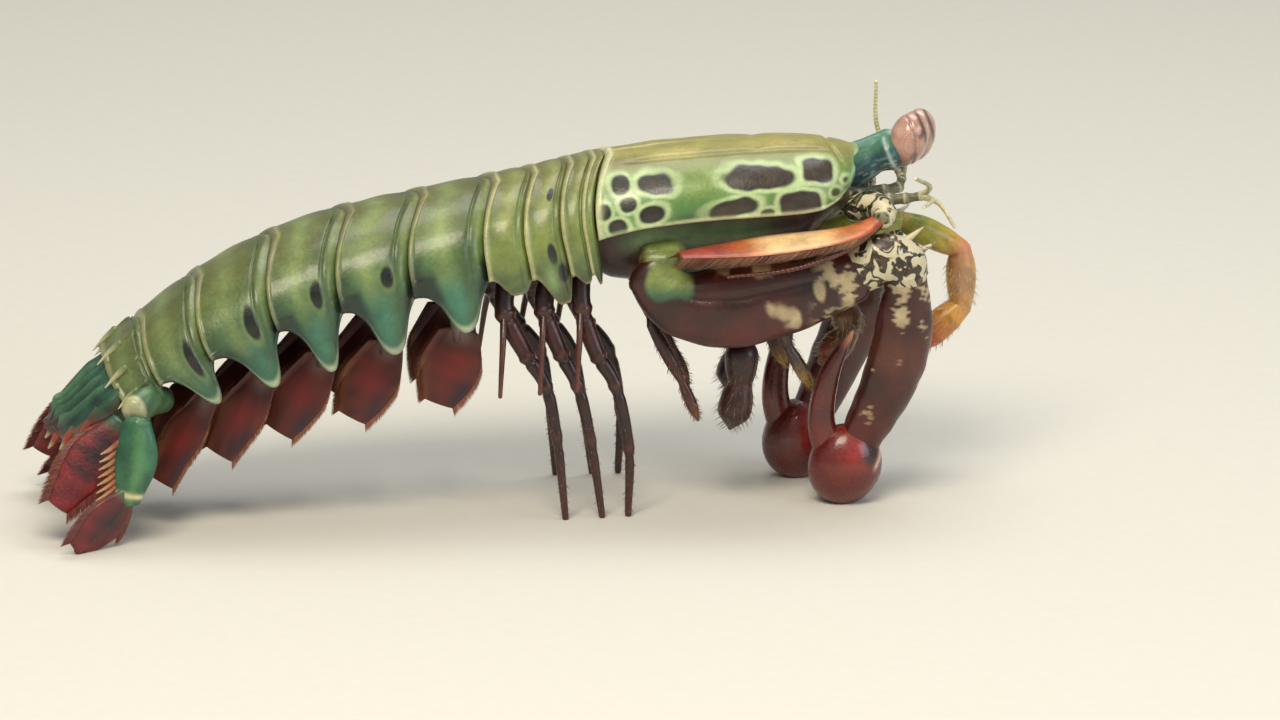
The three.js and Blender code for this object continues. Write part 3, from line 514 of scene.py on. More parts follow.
# Carapace: an arch of 200 degrees with cream-rimmed dark spots, a beaded rim, two grooves and,
# set off by a curved groove in front, the rostral plate.
shield = {
    "stations": [(18.3, 10.8, 10.4), (20.5, 11.3, 10.0), (24, 11.6, 9.7), (32, 11.6, 9.6), (40, 11.3, 9.6),
                 (47, 10.6, 9.4), (51.5, 9.5, 8.8), (54.5, 7.6, 7.4), (56.2, 5.4, 5.4)],
    "ends": (18.1, 56.4), "edge": 100, "flankLength": 19, "wall": 0.9, "rim": 0.28, "rows": 215, "cols": 225,
    "top": "#838241", "crown": "#96914c", "flank": "#64873c", "low": "#4d7c44", "cream": "#bccf98",
    "lower": "#24351d",
    # X, Z, half length, half height, lean, squareness, colour
    "spots": [(19.0, 51.0, 1.4, 1.15, 0.2, 2.2, "#10211a"), (24.4, 51.2, 2.7, 1.35, 0.0, 2.6, "#16211a"),
              (19.9, 48.5, 1.35, 1.05, 0.2, 2.2, "#0f231b"), (16.3, 47.5, 1.0, 1.15, 0.3, 2.2, "#0f231b"),
              (23.4, 47.1, 2.0, 1.35, 0.25, 2.6, "#13201a"), (18.4, 45.2, 1.5, 1.2, 0.1, 2.2, "#10201a"),
              (39.7, 51.6, 5.4, 1.6, -0.03, 2.3, "#2b231b"), (49.0, 52.0, 2.5, 1.6, -0.15, 2.8, "#2e251b"),
              (46.1, 47.5, 3.3, 2.0, 0.0, 3.2, "#2a211a"), (35.6, 47.5, 3.9, 1.35, 0.16, 2.4, "#2a2c1b"),
              (41.0, 46.4, 1.15, 0.85, 0.0, 2.2, "#3a3f20"), (51.9, 48.6, 0.8, 0.65, 0.0, 2.2, "#3d5226"),
              (53.4, 50.2, 0.55, 0.5, 0.0, 2.2, "#3d5226"), (50.6, 45.9, 1.0, 0.6, 0.0, 2.2, "#32391f")],
    "nets": [(20.4, 48.3, 6.2, 4.2), (44.5, 49.2, 10.2, 4.6)],
}


# Y and depth on the carapace: an arch of a circle's depth by the half width's sine, moved inwards.
def shieldGrid(x, angle, inset=0.0):
    rows = np.array(shield["stations"])
    half = smoothRow(rows[:, 1], np.interp(x, rows[:, 0], np.linspace(0, 1, len(rows))))
    deep = smoothRow(rows[:, 2], np.interp(x, rows[:, 0], np.linspace(0, 1, len(rows))))
    arch = deep / (1 - np.cos(np.radians(shield["edge"])))
    y = (half - inset) * np.sin(angle)
    depth = inset + (arch - inset) * (1 - np.cos(angle))
    return y, depth


# The outer face is the arch with its rim, keel and swellings raised and its grooves sunk, and the
# inner face the arch moved in by the wall. Colours run from the crown down by the angle.
def buildCarapace():
    rearX, frontX = shield["ends"]
    t = np.linspace(0, 1, shield["rows"])
    a = np.linspace(-1, 1, shield["cols"])
    x, side = np.meshgrid(rearX + (frontX - rearX) * t, a, indexing="ij")
    angle = np.radians(shield["edge"]) * side
    y, depth = shieldGrid(x, angle)
    flatPlace = under(x, y, depth)
    sideFar = (1 - np.abs(side)) * shield["flankLength"]
    edgeFar = np.minimum(np.minimum((x - rearX), sideFar), (frontX - x) * 1.4)
    rim = shield["rim"] * bell(edgeFar, 0.45, 0.42)
    grooveAt = 4.6 + 0.6 * np.sin((x - 18) / 9)
    groove = 0.3 * bell(np.abs(y), grooveAt, 0.5) * ease(20, 24, x) * (1 - ease(49, 53, x))
    frontLine = 51.6 + 1.5 * (np.abs(y) / 5) ** 2
    groove += 0.32 * bell(x, frontLine, 0.35) * (1 - ease(5.0, 6.2, np.abs(y)))
    neck = 0.22 * bell(x, 41.5 - 0.05 * y ** 2, 1.0) * (1 - ease(3, 6, np.abs(y)))
    keel = 0.22 * bell(y, 0, 0.35) * (1 - ease(26, 40, x))
    swell = 0.06 * wander(flatPlace, 7, 3)
    y, depth = shieldGrid(x, angle, groove + neck - rim - keel - swell)
    outer = under(x, y, depth)
    yIn, depthIn = shieldGrid(x, angle, shield["wall"])
    inner = under(x, yIn, depthIn)
    X, Z = outer[..., 0], outer[..., 2]
    turn = np.degrees(np.abs(angle))
    tint = mixed(shield["crown"], shield["top"], ease(8, 26, turn))
    tint = paint(tint, "#76833f", ease(24, 44, turn) * 0.8)
    tint = paint(tint, shield["flank"], ease(40, 62, turn))
    tint = paint(tint, "#799040", bell(X, 30.5, 4) * bell(turn, 62, 16) * 0.6)
    tint = paint(tint, shield["low"], ease(66, 86, turn) * 0.7)
    tint = paint(tint, shield["lower"], ease(84, 96, turn) * bell(X, 32, 8) * 0.75)
    tint = paint(tint, "#6a5c2c", bell(turn, 24, 7) * (0.5 + 0.5 * wander(outer, 5, 11)) * 0.5)
    # Two pale gold patches along the crest, round X 28 and X 44, are painted highlights.
    tint = paint(tint, "#c3b56e", bell(turn, 20, 8) * bell(X, 28, 4.5) * 0.6)
    tint = paint(tint, "#bdb068", bell(turn, 16, 9) * bell(X, 44, 6) * 0.55)
    tint = paint(tint, "#4c8a6a", bell(turn, 70, 16) * bell(X, 19.5, 5.0) * 0.7)
    flank = ease(20, 40, turn)
    jitter = 0.16 * wander(outer, 1.6, 5)
    nearest = np.full(X.shape, 9.0)
    for cx, cz, long, high, lean, power, _ in shield["spots"]:
        far = outsideOval(X, Z, cx, cz, long, high, lean, power) + jitter
        nearest = np.minimum(nearest, far)
    net = np.zeros(X.shape)
    for cx, cz, long, high in shield["nets"]:
        net = np.maximum(net, 1 - ease(-0.6, 1.0, outsideOval(X, Z, cx, cz, long, high, 0, 3)))
    rimBand = (1 - ease(0.32, 0.85, nearest)) * flank
    tint = paint(tint, shield["cream"], rimBand * (0.5 + 0.4 * net))
    tint = paint(tint, "#8aa45c", net * flank * (1 - rimBand) * 0.3)
    for cx, cz, long, high, lean, power, code in shield["spots"]:
        far = outsideOval(X, Z, cx, cz, long, high, lean, power) + jitter
        inside = (1 - ease(-0.22, 0.18, far)) * flank
        tint = paint(tint, code, inside)
        tint = paint(tint, "#4a3a2a", inside * bell(far, -0.9, 0.5) * 0.45)
    rear = bell(x - rearX, 0.3, 0.55)
    lowEdge = bell(sideFar, 0.25, 0.5)
    tint = paint(tint, "#cdd0a2", np.maximum(rear, lowEdge * ease(20, 26, x)) * 0.9)
    tint = paint(tint, "#b9c795", lowEdge * (1 - ease(20, 26, x)) * 0.7)
    tint = paint(tint, "#8fae84", bell(frontX - x, 0.4, 0.7) * 0.7)
    part = closePlate(outer, inner, tint, linear("#3a1a14"))
    makePiece("carapaceShell", part, carapaceChitin, ["carapace"], 60)


buildCarapace()
print("stage: carapace built")


# Body rings: X of the rear, half width, and depths of the arch's widest place, belly and plate tips.
thoraxFront = 18.15
ringPlan = [
    ("thorax_5", 16.4, 10.6, 9.0, 16.6, 17.4), ("thorax_6", 13.0, 10.9, 8.6, 15.6, 16.6),
    ("thorax_7", 7.6, 11.3, 8.6, 14.8, 18.6), ("thorax_8", 1.8, 11.7, 8.6, 13.8, 15.6),
    ("abdomen_1", -9.0, 12.4, 9.0, 12.6, 19.6), ("abdomen_2", -20.2, 12.9, 9.2, 12.6, 20.4),
    ("abdomen_3", -31.5, 13.2, 9.2, 12.2, 20.2), ("abdomen_4", -43.2, 13.0, 8.8, 11.2, 18.4),
    ("abdomen_5", -52.0, 12.5, 8.0, 9.6, 15.4), ("abdomen_6", -57.8, 11.4, 6.4, 7.4, 9.8),
]
thoraxRings = 4
ringLook = {
    "wall": 0.75, "archShare": 0.6, "tuck": 0.9, "overlap": 0.55, "cols": 250,
    "thoraxSwell": [0.96, 0.99, 1, 1, 1.012],
    "abdomenSwell": [0.945, 0.985, 1, 1, 0.995, 1, 1.01, 1.015],
    "plate": [0, 0.3, 0.84, 1, 0.86, 0.34, 0.08, 0],
    "spines": (0.13, 0.33, 0.52),
    # part of the ring's length, depth, half length, half depth
    "thoraxMarks": [(0.48, 10.2, 0.13, 1.9), (0.45, 2.2, 0.1, 0.7), (0.3, 13.6, 0.16, 1.6)],
    # band is a painted highlight across each ring, line the painted shadow along each ring's front seam, and
    # deep the painted shade between the abdominal plate tongues.
    "top": "#62642f", "upper": "#5c6c36", "flank": "#48693f", "lobe": "#2a6650", "deep": "#0f211a",
    "band": "#84965a", "line": "#14190e", "rim": "#b3b07c", "spot": "#0f160d",
}


# A ring's half width and depths at t from its front: each runs on to the next ring's, swollen in
# the middle, and the plates hang below the belly by a share that grows and falls along the ring.
def ringSizes(i, t):
    half, arch, belly, plate = ringPlan[i][2:]
    last = i + 1 == len(ringPlan)
    nextHalf, nextArch, nextBelly = (half - 0.4, arch, belly - 0.3) if last else ringPlan[i + 1][2:5]
    s = np.clip(t, 0, 1)
    thorax = i < thoraxRings
    hang = (ease(0, 0.3, s) * (1 - ease(0.5, 1.0, s)) if thorax
            else np.maximum(smoothRow(ringLook["plate"], s), 0))
    swell = smoothRow(ringLook["thoraxSwell" if thorax else "abdomenSwell"], s)
    wide = (half + (nextHalf - half) * s) * swell
    high = arch + (nextArch - arch) * s
    low = belly + (nextBelly - belly) * s
    return wide, high, low, low + (plate - low) * hang


# One ring's shell: an elliptic arch whose sides run on down as plates; v goes from -1 at the left
# plate's edge over the crest to 1, and the front end lies a little lower, under the ring before it.
def tergiteGrid(i, t, v, inset):
    wide, high, low, tip = ringSizes(i, t)
    share = ringLook["archShare"]
    angle = np.clip(np.abs(v) / share, 0, 1) * np.pi / 2
    drop = np.clip((np.abs(v) - share) / (1 - share), 0, 1)
    front = 0.42 * (1 - ease(0.0, 0.22, t)) - 0.1 * ease(0.7, 1.0, t)
    inward = inset + front
    y = (wide - inward) * np.sin(angle) - ringLook["tuck"] * drop ** 2 - 0.35 * ease(0.9, 1, drop)
    depth = inward + (high - inward) * (1 - np.cos(angle)) + (tip - high) * drop
    return np.sign(v) * y, depth, drop, tip


# A ring is its shell between an outer face with rims, a crease, folds and a dent, and an inner face
# moved in by the wall. Colours follow the depth and the place along the ring, with a painted highlight band
# across the middle of each ring, painted shadow along its front seam and, on the abdomen, painted shade
# between the plate tongues.
def buildTergite(i):
    name, rear, _, arch = ringPlan[i][:4]
    front = thoraxFront if i == 0 else ringPlan[i - 1][1]
    thorax = i < thoraxRings
    long = front - rear
    over = ringLook["overlap"] / long
    rows, cols = int(24 + long * 6), ringLook["cols"]
    t, v = np.meshgrid(np.linspace(0.0, 1 + over, rows), np.linspace(-1, 1, cols), indexing="ij")
    x = front - 0.15 + (rear - front) * t
    y, depth, drop, tip = tergiteGrid(i, t, v, 0)
    still = under(x, y, depth)
    fromRear = (1 + over - t) * long
    fromTip = (1 - drop) * np.maximum(tip - arch, 1)
    rim = 0.2 * bell(fromRear, 0.35, 0.3) + 0.22 * bell(fromTip, 0.4, 0.4) * ease(0.55, 0.75, np.abs(v))
    crease = 0.22 * bell(t, 0.26, 0.025 if not thorax else 0.05) * (1 - ease(0.8, 1, drop))
    bow = 0.22 * np.sin(np.pi * np.clip(t, 0, 1)) ** 2
    fold = 0.0
    if name == "abdomen_6":
        for place in ringLook["spines"]:
            fold = fold + 0.55 * bell(np.abs(v), place, 0.025) * ease(0.1, 0.4, t)
    dent = 0.18 * bell(drop, 0.05, 0.12) * ease(0.02, 0.2, np.abs(v)) if not thorax else 0.0
    ripple = 0.05 * wander(still, 4, 20 + i)
    y, depth, drop, tip = tergiteGrid(i, t, v, crease + dent - rim - bow - fold - ripple)
    outer = under(x, y, depth)
    yIn, depthIn, _, _ = tergiteGrid(i, t, v, ringLook["wall"])
    inner = under(x, yIn, depthIn)
    noise = wander(outer, 2.6, 40 + i)
    slow = wander(outer, 6, 60 + i)
    tint = mixed(ringLook["top"], ringLook["upper"], ease(0.5, 3.5, depth + noise))
    if thorax:
        tint = paint(tint, "#73823f", ease(3, 8, depth + noise))
        tint = paint(tint, "#4a5c38", ease(9, 13, depth + noise) * 0.75)
        tint = paint(tint, "#33291f", ease(13, 17, depth) * 0.5)
        # A pale band across the top of the ring's middle is a painted highlight.
        tint = paint(tint, "#9ba05a", bell(t, 0.55, 0.22) * (1 - ease(4, 10, depth)) * 0.5)
        if name == "thorax_7":
            for tAt, dAt, tWide, dWide in ringLook["thoraxMarks"]:
                far = np.hypot((t - tAt) / tWide, (depth - dAt) / dWide)
                tint = paint(tint, ringLook["spot"], 1 - ease(0.7, 1.15, far))
            tint = paint(tint, "#86a06a", bell(t, 0.62, 0.16) * bell(depth, 14, 2.2) * 0.8)
    else:
        far = (i - thoraxRings) / 5
        tint = paint(tint, ringLook["flank"], ease(3, 8, depth + noise))
        tint = paint(tint, ringLook["lobe"], ease(8.5, 14, depth + noise + slow) * 0.92)
        tint = paint(tint, "#46562e", bell(t, 0.3, 0.14) * 0.6)
        # The band colour across the middle of each ring, fading down the flank, is a painted highlight.
        tint = paint(tint, ringLook["band"], bell(t + 0.012 * (depth - 8), 0.6, 0.15)
                     * (1 - ease(8, 14, depth)) * (0.66 + 0.25 * slow))
        tint = paint(tint, "#8fa05e", bell(t, 0.12, 0.05) * (1 - ease(9, 13, depth)) * 0.55)
        tint = paint(tint, "#4f8f74", bell(t, 0.46, 0.12) * bell(depth, 14.5, 3.5) * 0.5)
        # Between the plate tongues the lower flank is painted near-black: painted shade of the gaps under
        # the plates.
        narrow = 0.34 - 0.016 * np.clip(depth - 6, 0, 12)
        tongueGapShade = ease(narrow - 0.05, narrow + 0.08, np.abs(t - 0.44)) * ease(7.2, 10.4, depth + 0.7 * noise)
        tint = paint(tint, ringLook["deep"], tongueGapShade * 0.92)
        tint = paint(tint, "#1d2816", ease(0.78, 0.95, t) * ease(3, 8, depth) * 0.5)
        tint = paint(tint, "#174236", far * 0.5 * ease(2, 8, depth))
        tint = paint(tint, "#4f5f34", far * 0.4 * (1 - ease(2, 8, depth)))
        if 5 <= i <= 8:
            high = 1.8 + 0.55 * (i - 5)
            mark = np.hypot((t - 0.36) / 0.1, (depth - 8.2 + 0.3 * (i - 5)) / high) + 0.08 * noise
            tint = paint(tint, "#7f9560", (1 - ease(1.0, 1.7, mark)) * 0.4)
            tint = paint(tint, ringLook["spot"], 1 - ease(0.75, 1.1, mark))
        if 5 <= i <= 7:
            tint = paint(tint, "#e4dfc4", bell(t, 0.045, 0.03) * bell(depth, 14.2, 1.6))
        paleTip = (1 - ease(0.5, 1.7, fromTip)) * bell(t, 0.44, 0.17) * ease(0.6, 0.8, np.abs(v))
        tint = paint(tint, "#b9c4a4", paleTip * 0.85)
    # The dark strip along the front seam of each ring is painted shadow under the rim of the ring before it.
    tint = paint(tint, ringLook["line"], (1 - ease(0.02, 0.07, t)) * 0.8)
    pale = bell(fromRear, 0.28, 0.34) * (0.9 if thorax else 0.45 * (1 - ease(8, 11, depth)))
    tint = paint(tint, ringLook["rim"], pale)
    if thorax:
        tint = paint(tint, "#b9b184", (1 - ease(0.2, 0.7, fromTip)) * ease(0.6, 0.8, np.abs(v)) * 0.7)
    parts = [closePlate(outer, inner, tint, linear("#2c1a12"))]
    if name == "abdomen_6":
        for place in [sign * place for sign in (-1, 1) for place in ringLook["spines"]]:
            ys, ds, _, _ = tergiteGrid(i, np.array([0.7, 1.25]), np.array([place] * 2), -0.45)
            root, end = under(np.array([front - long * 0.7, front - long * 1.28]), ys, ds)
            parts.append(spine(root, end, 0.1, [1.3, 0.9, 0.12], [1.2, 0.8, 0.12], ("#6d7c4a", "#e2d9b0")))
    makePiece(name.replace("_", "Ring"), parts, ringChitin, [name], 60)


for ringIndex in range(len(ringPlan)):
    buildTergite(ringIndex)
print("stage: rings built")


# Flesh under the shell: one skin from the snout to the end of the abdomen, pinched between rings.
flesh = {
    "inset": 1.5, "rows": 420, "cols": 96, "power": 2.5,
    # X, half width, depth of the top, depth of the underside
    "stations": [(59.8, 3.9, 3.6, 7.6), (57.0, 5.2, 4.2, 9.8), (52, 6.8, 2.2, 14.4), (47, 7.6, 2.0, 19.6),
                 (40, 8.2, 1.9, 21), (30, 8.4, 1.9, 20.8), (22, 8.6, 1.9, 19.6), (16, 8.7, 1.6, 17.4),
                 (8, 8.6, 1.4, 15.6), (0, 8.8, 1.4, 14.4), (-12, 9.2, 1.4, 13.4), (-24, 9.4, 1.4, 13.2),
                 (-36, 9.2, 1.4, 12.4), (-46, 8.8, 1.4, 11), (-54, 8.2, 1.3, 8.8), (-58.0, 7.6, 1.6, 7.0)],
}


# Squared ovals across the body, each from its own top to its own underside.
def buildFlesh():
    rows = np.array(flesh["stations"])
    s = np.linspace(0, 1, flesh["rows"])
    x = np.interp(s, [0, 1], [rows[0, 0], rows[-1, 0]])
    turn = np.interp(-x, -rows[:, 0], np.linspace(0, 1, len(rows)))
    half, top, low = [smoothRow(rows[:, k], turn) for k in (1, 2, 3)]
    seams = np.array([thoraxFront, *[plan[1] for plan in ringPlan]])
    pinch = np.max(bell(x[:, None], seams[None], 0.9), axis=1)
    angle = np.linspace(0, 2 * np.pi, flesh["cols"], endpoint=False)
    c, q = squared(np.cos(angle), flesh["power"]), squared(np.sin(angle), flesh["power"])
    middle, reach = (top + low) / 2, (low - top) / 2
    y = (half - 0.25 * pinch)[:, None] * c[None]
    depth = middle[:, None] - (reach - 0.45 * pinch)[:, None] * q[None]
    depth = depth + 0.5 * bell(y, 0, 2.2) * (q < -0.5) * (1 - pinch)[:, None]
    grid = under(x[:, None] + 0 * y, y, depth)
    tint = clouded("#3a1611", "#24100d", grid, 3, 80)
    tint = paint(tint, "#5b3322", bell(wander(grid, 2.2, 81), 0.8, 0.4) * 0.5)
    tint = paint(tint, "#4d4a33", ease(50, 56, x)[:, None] * np.ones_like(y) * 0.8)
    tint = paint(tint, "#c9bf98", ease(53, 57, x)[:, None] * ease(0.35, 0.8, wander(grid, 1.3, 82)) * 0.8)
    greenRun = ease(19, 25, x) * (1 - ease(36, 46, x))
    tint = paint(tint, "#6c8a54", bell(depth, 12.2, 1.7) * greenRun[:, None] * 0.9)
    makePiece("bodyFlesh", closeLimb(grid, tint), softChitin, ["head"])


buildFlesh()
print("stage: flesh built")


# Telson: a plate with a middle keel and three pairs of ridges, each ending in a knob, and six spines.
tail = {
    "rear": -67.2, "half": 10.8, "thick": 3.0, "rows": 120, "cols": 200,
    "widths": [0.94, 0.98, 1, 0.97, 0.88, 0.72, 0.5], "ridges": [0, 0.2, 0.44, 0.7],
    "teeth": [(0.28, 1, 2.6), (0.62, 0.86, 2.6), (0.86, 0.6, 2.2)],
    "ground": "#0e2a22", "ridge": "#55835f", "edge": "#4a1714", "tip": "#bda880",
}


# The upper face rises in bells along each ridge, and the underside is a shallow trough.
def buildTelson():
    front = ringPlan[-1][1] - 0.2
    t, u = np.meshgrid(np.linspace(0, 1, tail["rows"]), np.linspace(-1, 1, tail["cols"]), indexing="ij")
    wide = tail["half"] * smoothRow(tail["widths"], t)
    x = front + (tail["rear"] - front) * t - 0.9 * bell(np.abs(u), 0.28, 0.14) * ease(0.8, 1, t)
    ridge = 0
    for place in tail["ridges"]:
        spread = 0.035 if place == 0 else 0.03
        high = (1.0 if place == 0 else 0.75) * (0.35 + 0.65 * ease(0.05, 0.3, t)) * (1 - ease(0.82, 0.97, t))
        ridge = ridge + high * bell(np.abs(u), place * (1 - 0.12 * t), spread * 1.5)
        ridge = ridge + 0.5 * bell(np.abs(u), place * (1 - 0.12 * t), 0.06) * bell(t, 0.82, 0.07)
    ridge = ridge + 0.25 * bell(np.abs(u), 0.95, 0.05)
    y = u * wide
    top = under(x, y, 0.95 + 2.6 * u ** 2 - ridge)
    bottom = under(x, y * 0.985, tail["thick"] + 1.0 + 1.3 * np.abs(u) + 0.3 * bell(t, 0.5, 0.4))
    dusk = wander(top, 2.0, 90)
    tint = mixed(tail["ground"], "#1d4a38", 0.5 + 0.5 * dusk)
    tint = paint(tint, tail["ridge"], np.clip(ridge * 1.1, 0, 1) * 0.6)
    tint = paint(tint, "#2f6247", bell(t, 0.12, 0.12) * 0.5)
    tint = paint(tint, tail["edge"], ease(0.86, 0.98, t) * 0.75)
    tint = paint(tint, "#8c3322", ease(0.9, 0.99, np.abs(u)) * ease(0.3, 0.6, t) * 0.6)
    parts = [closePlate(top, bottom, tint, linear("#4f3a2c"))]
    for sign in (-1, 1):
        for place, along, reach in tail["teeth"]:
            base = front + (tail["rear"] - front) * along
            out = sign * place * tail["half"] * (0.9 if along == 1 else 0.98)
            root = under(np.array(base), np.array(out), 2.9 + place, -2.6)
            end = under(np.array(base), np.array(out * 1.04), 3.3 + place, reach + 0.2)
            middle = root * 0.45 + end * 0.55 + [0, 0, 0.15]
            points, tt, _ = limbGrid([root, middle, end], [2.5, 1.9, 0.3], [2.0, 1.5, 0.3],
                                     rows=22, cols=16, dome=4)
            tint = mixed("#3f5a3a", "#9b3b25", ease(0.1, 0.6, tt))
            parts.append(closeLimb(points, paint(tint, tail["tip"], ease(0.72, 0.92, tt))))
    makePiece("telsonPlate", parts, ringChitin, ["telson"], 70)


buildTelson()


# Tail fan: stalk with a two-pronged spine, an outer blade in two articles with a row of movable
# spines and a fringe, and an inner blade with a fringe.
def buildFan(word, sign):
    stalkPath = [(-50.2, sign * 8, 20.2), (-52.6, sign * 10.8, 20.8), (-54.9, sign * 13.3, 20.3)]
    stalk, tt, _ = limbGrid(stalkPath, [4.2, 4.9, 4.3], [3.9, 4.5, 3.9], (0, 0, 1), rows=40, cols=36)
    stalk = stalk + unit(stalk - stalk.mean((0, 1))) * (0.15 * wander(stalk, 1.6, 95))[..., None]
    tint = paint(clouded("#2b5238", "#5d7f4f", stalk, 1.8, 96), "#cfc79a", ease(0.86, 1, tt) * 0.6)
    parts = [closeLimb(stalk, tint)]
    for k in (0, 1):
        path = [(-54.2, sign * (12.8 - 1.2 * k), 19.4), (-57.6, sign * (13.8 - 1.6 * k), 11),
                (-60.4 - 1.4 * k, sign * (14.6 - 2.4 * k), 3.2 + 2.2 * k)]
        prong, tt, _ = limbGrid(path, [2.5, 2.0, 0.5], [2.3, 1.7, 0.5], rows=50, cols=20, power=1.8)
        tint = paint(mixed("#39613f", "#d8c38a", ease(0.1, 0.4, tt)), "#cf8748", ease(0.45, 0.8, tt) * 0.85)
        tint = paint(tint, "#e9dcb6", ease(0.85, 0.97, tt))
        parts.append(closeLimb(prong, tint))
    makePiece("fanStalk" + word.title(), parts, ringChitin, ["uropod_base_" + word])

    path = [(-54.6, sign * 15.6, 19), (-55, sign * 16.4, 13.6), (-56.4, sign * 17, 7.4)]
    first, tt, angle = limbGrid(path, [4.2, 6.6, 3.9], [2.4, 3.0, 2.2], (1, 0, 0),
                                rows=60, cols=40, power=2.3)
    ridge = 0.35 * bell(np.cos(angle), 0, 0.25) * (np.sin(angle) * sign < 0)
    first = first + np.array([0, sign, 0]) * ridge[..., None]
    tint = clouded("#2f6a48", "#1c4a36", first, 2, 97)
    tint = paint(tint, "#5f8f56", bell(np.cos(angle), 0.1, 0.3) * 0.5)
    tint = paint(tint, "#d8cf9c", bell(tt, 0.93, 0.035) * 0.8)
    parts = [closeLimb(first, tint)]
    for s in np.linspace(0.2, 0.86, 7):
        root = np.array([-57.5 - 0.3 * s, sign * (15.9 + 1.1 * s), 18 - 9.6 * s])
        end = root + np.array([-2.5 - s, sign * 0.5, -1.3 - s])
        parts.append(spine(root, end, -0.2, [1.1, 0.8, 0.2], [1.0, 0.7, 0.2], ("#8a3424", "#c9a878")))
    outerPath = [(-56, sign * 16.9, 8.4), (-59.6, sign * 18, 4.6), (-64.2, sign * 19.2, 0.6)]
    outerWide, outerWay = [3.2, 7.2, 4.0], (0.6, 0.4, -0.5)
    blade, tt, angle = limbGrid(outerPath, outerWide, [1.6, 1.2, 0.7], outerWay, rows=60, cols=40, power=2.2)
    rib = 0.28 * bell(np.cos(angle), 0, 0.16) * np.sign(np.sin(angle))
    blade = blade + rib[..., None] * unit(np.cross(unit(np.gradient(blade, axis=0)), outerWay))
    blade[..., 2] = np.maximum(blade[..., 2], 0.02)  # stays on the floor
    tint = clouded("#7d1c1e", "#4a1016", blade, 1.5, 98)
    tint = paint(tint, "#10131f", bell(np.cos(angle), 0.0, 0.6) * bell(tt, 0.45, 0.34) * 0.9)
    tint = paint(tint, "#2c6a4a", 1 - ease(0.0, 0.22, tt))
    parts.append(closeLimb(blade, tint))
    makePiece("outerBlade" + word.title(), parts, limbChitin, ["uropod_outer_" + word])

    innerPath = [(-56.8, sign * 11.6, 18), (-61.2, sign * 13, 12.8), (-66.6, sign * 14.8, 6.2)]
    innerWide, innerWay = [3.2, 7.4, 3.6], (0.78, sign * 0.3, -0.55)
    leaf, tt, angle = limbGrid(innerPath, innerWide, [1.6, 1.2, 0.7], innerWay, rows=60, cols=40, power=2.2)
    tint = clouded("#8a2022", "#4f1217", leaf, 1.5, 99)
    tint = paint(tint, "#121524", bell(np.cos(angle), 0.1, 0.55) * bell(tt, 0.4, 0.34) * 0.85)
    tint = paint(tint, "#2f5a44", 1 - ease(0.0, 0.2, tt))
    makePiece("innerBlade" + word.title(), closeLimb(leaf, tint), limbChitin,
              ["uropod_inner_" + word])

    # Fringes stand out from both edges of a blade, in its own plane, and lean to its tip.
    fans = []
    count = 620
    for path, wideRow, way in ((outerPath, outerWide, outerWay), (innerPath, innerWide, innerWay)):
        s = np.linspace(0.1, 1.0, count)
        line, forward, out, half = bladeEdge(path, wideRow, way, s)
        for edge in (-1, 1):
            roots = line + out * edge * half * 0.93
            lean = np.interp(s, [0.1, 1], [0.55, 1.3])[:, None]
            ways = unit(out * edge + forward * lean + random.normal(0, 0.06, (count, 3)))
            lengths = np.interp(s, [0.1, 0.3, 0.8, 1], [0.6, 1.5, 2.0, 1.6])
            lengths = lengths * random.uniform(0.85, 1.1, count)
            bend = forward * 0.25 * lengths[:, None]
            low = roots[:, 2] + (ways * lengths[:, None] + bend)[:, 2] < 0.15
            lengths = np.where(low, 0.35, lengths)
            bend = np.where(low[:, None], 0, bend)
            colour = mixed("#8f2c24", "#4f1616", random.uniform(0, 1, count))
            colour = paint(colour, "#b8806a", random.uniform(0, 0.4, count))
            keep = roots[:, 2] > 0.3
            fans.append(bristles(roots[keep], ways[keep], lengths[keep], 0.13, bend[keep], colour[keep],
                                 edgePlaces(edge, s)[keep]))
    makePiece("fanFringe" + word.title(), fans, bristleChitin, ())


for word, sign in sides:
    buildFan(word, sign)
print("stage: tail built")


# Eyes: an egg of lenses pinched by a middle band, on a flared stalk.
eyeLook = {"size": (5.8, 6.2, 8.4), "lean": 16, "ground": "#b58573", "pale": "#d1a893", "band": "#5d3a30",
           "low": "#8a6659"}


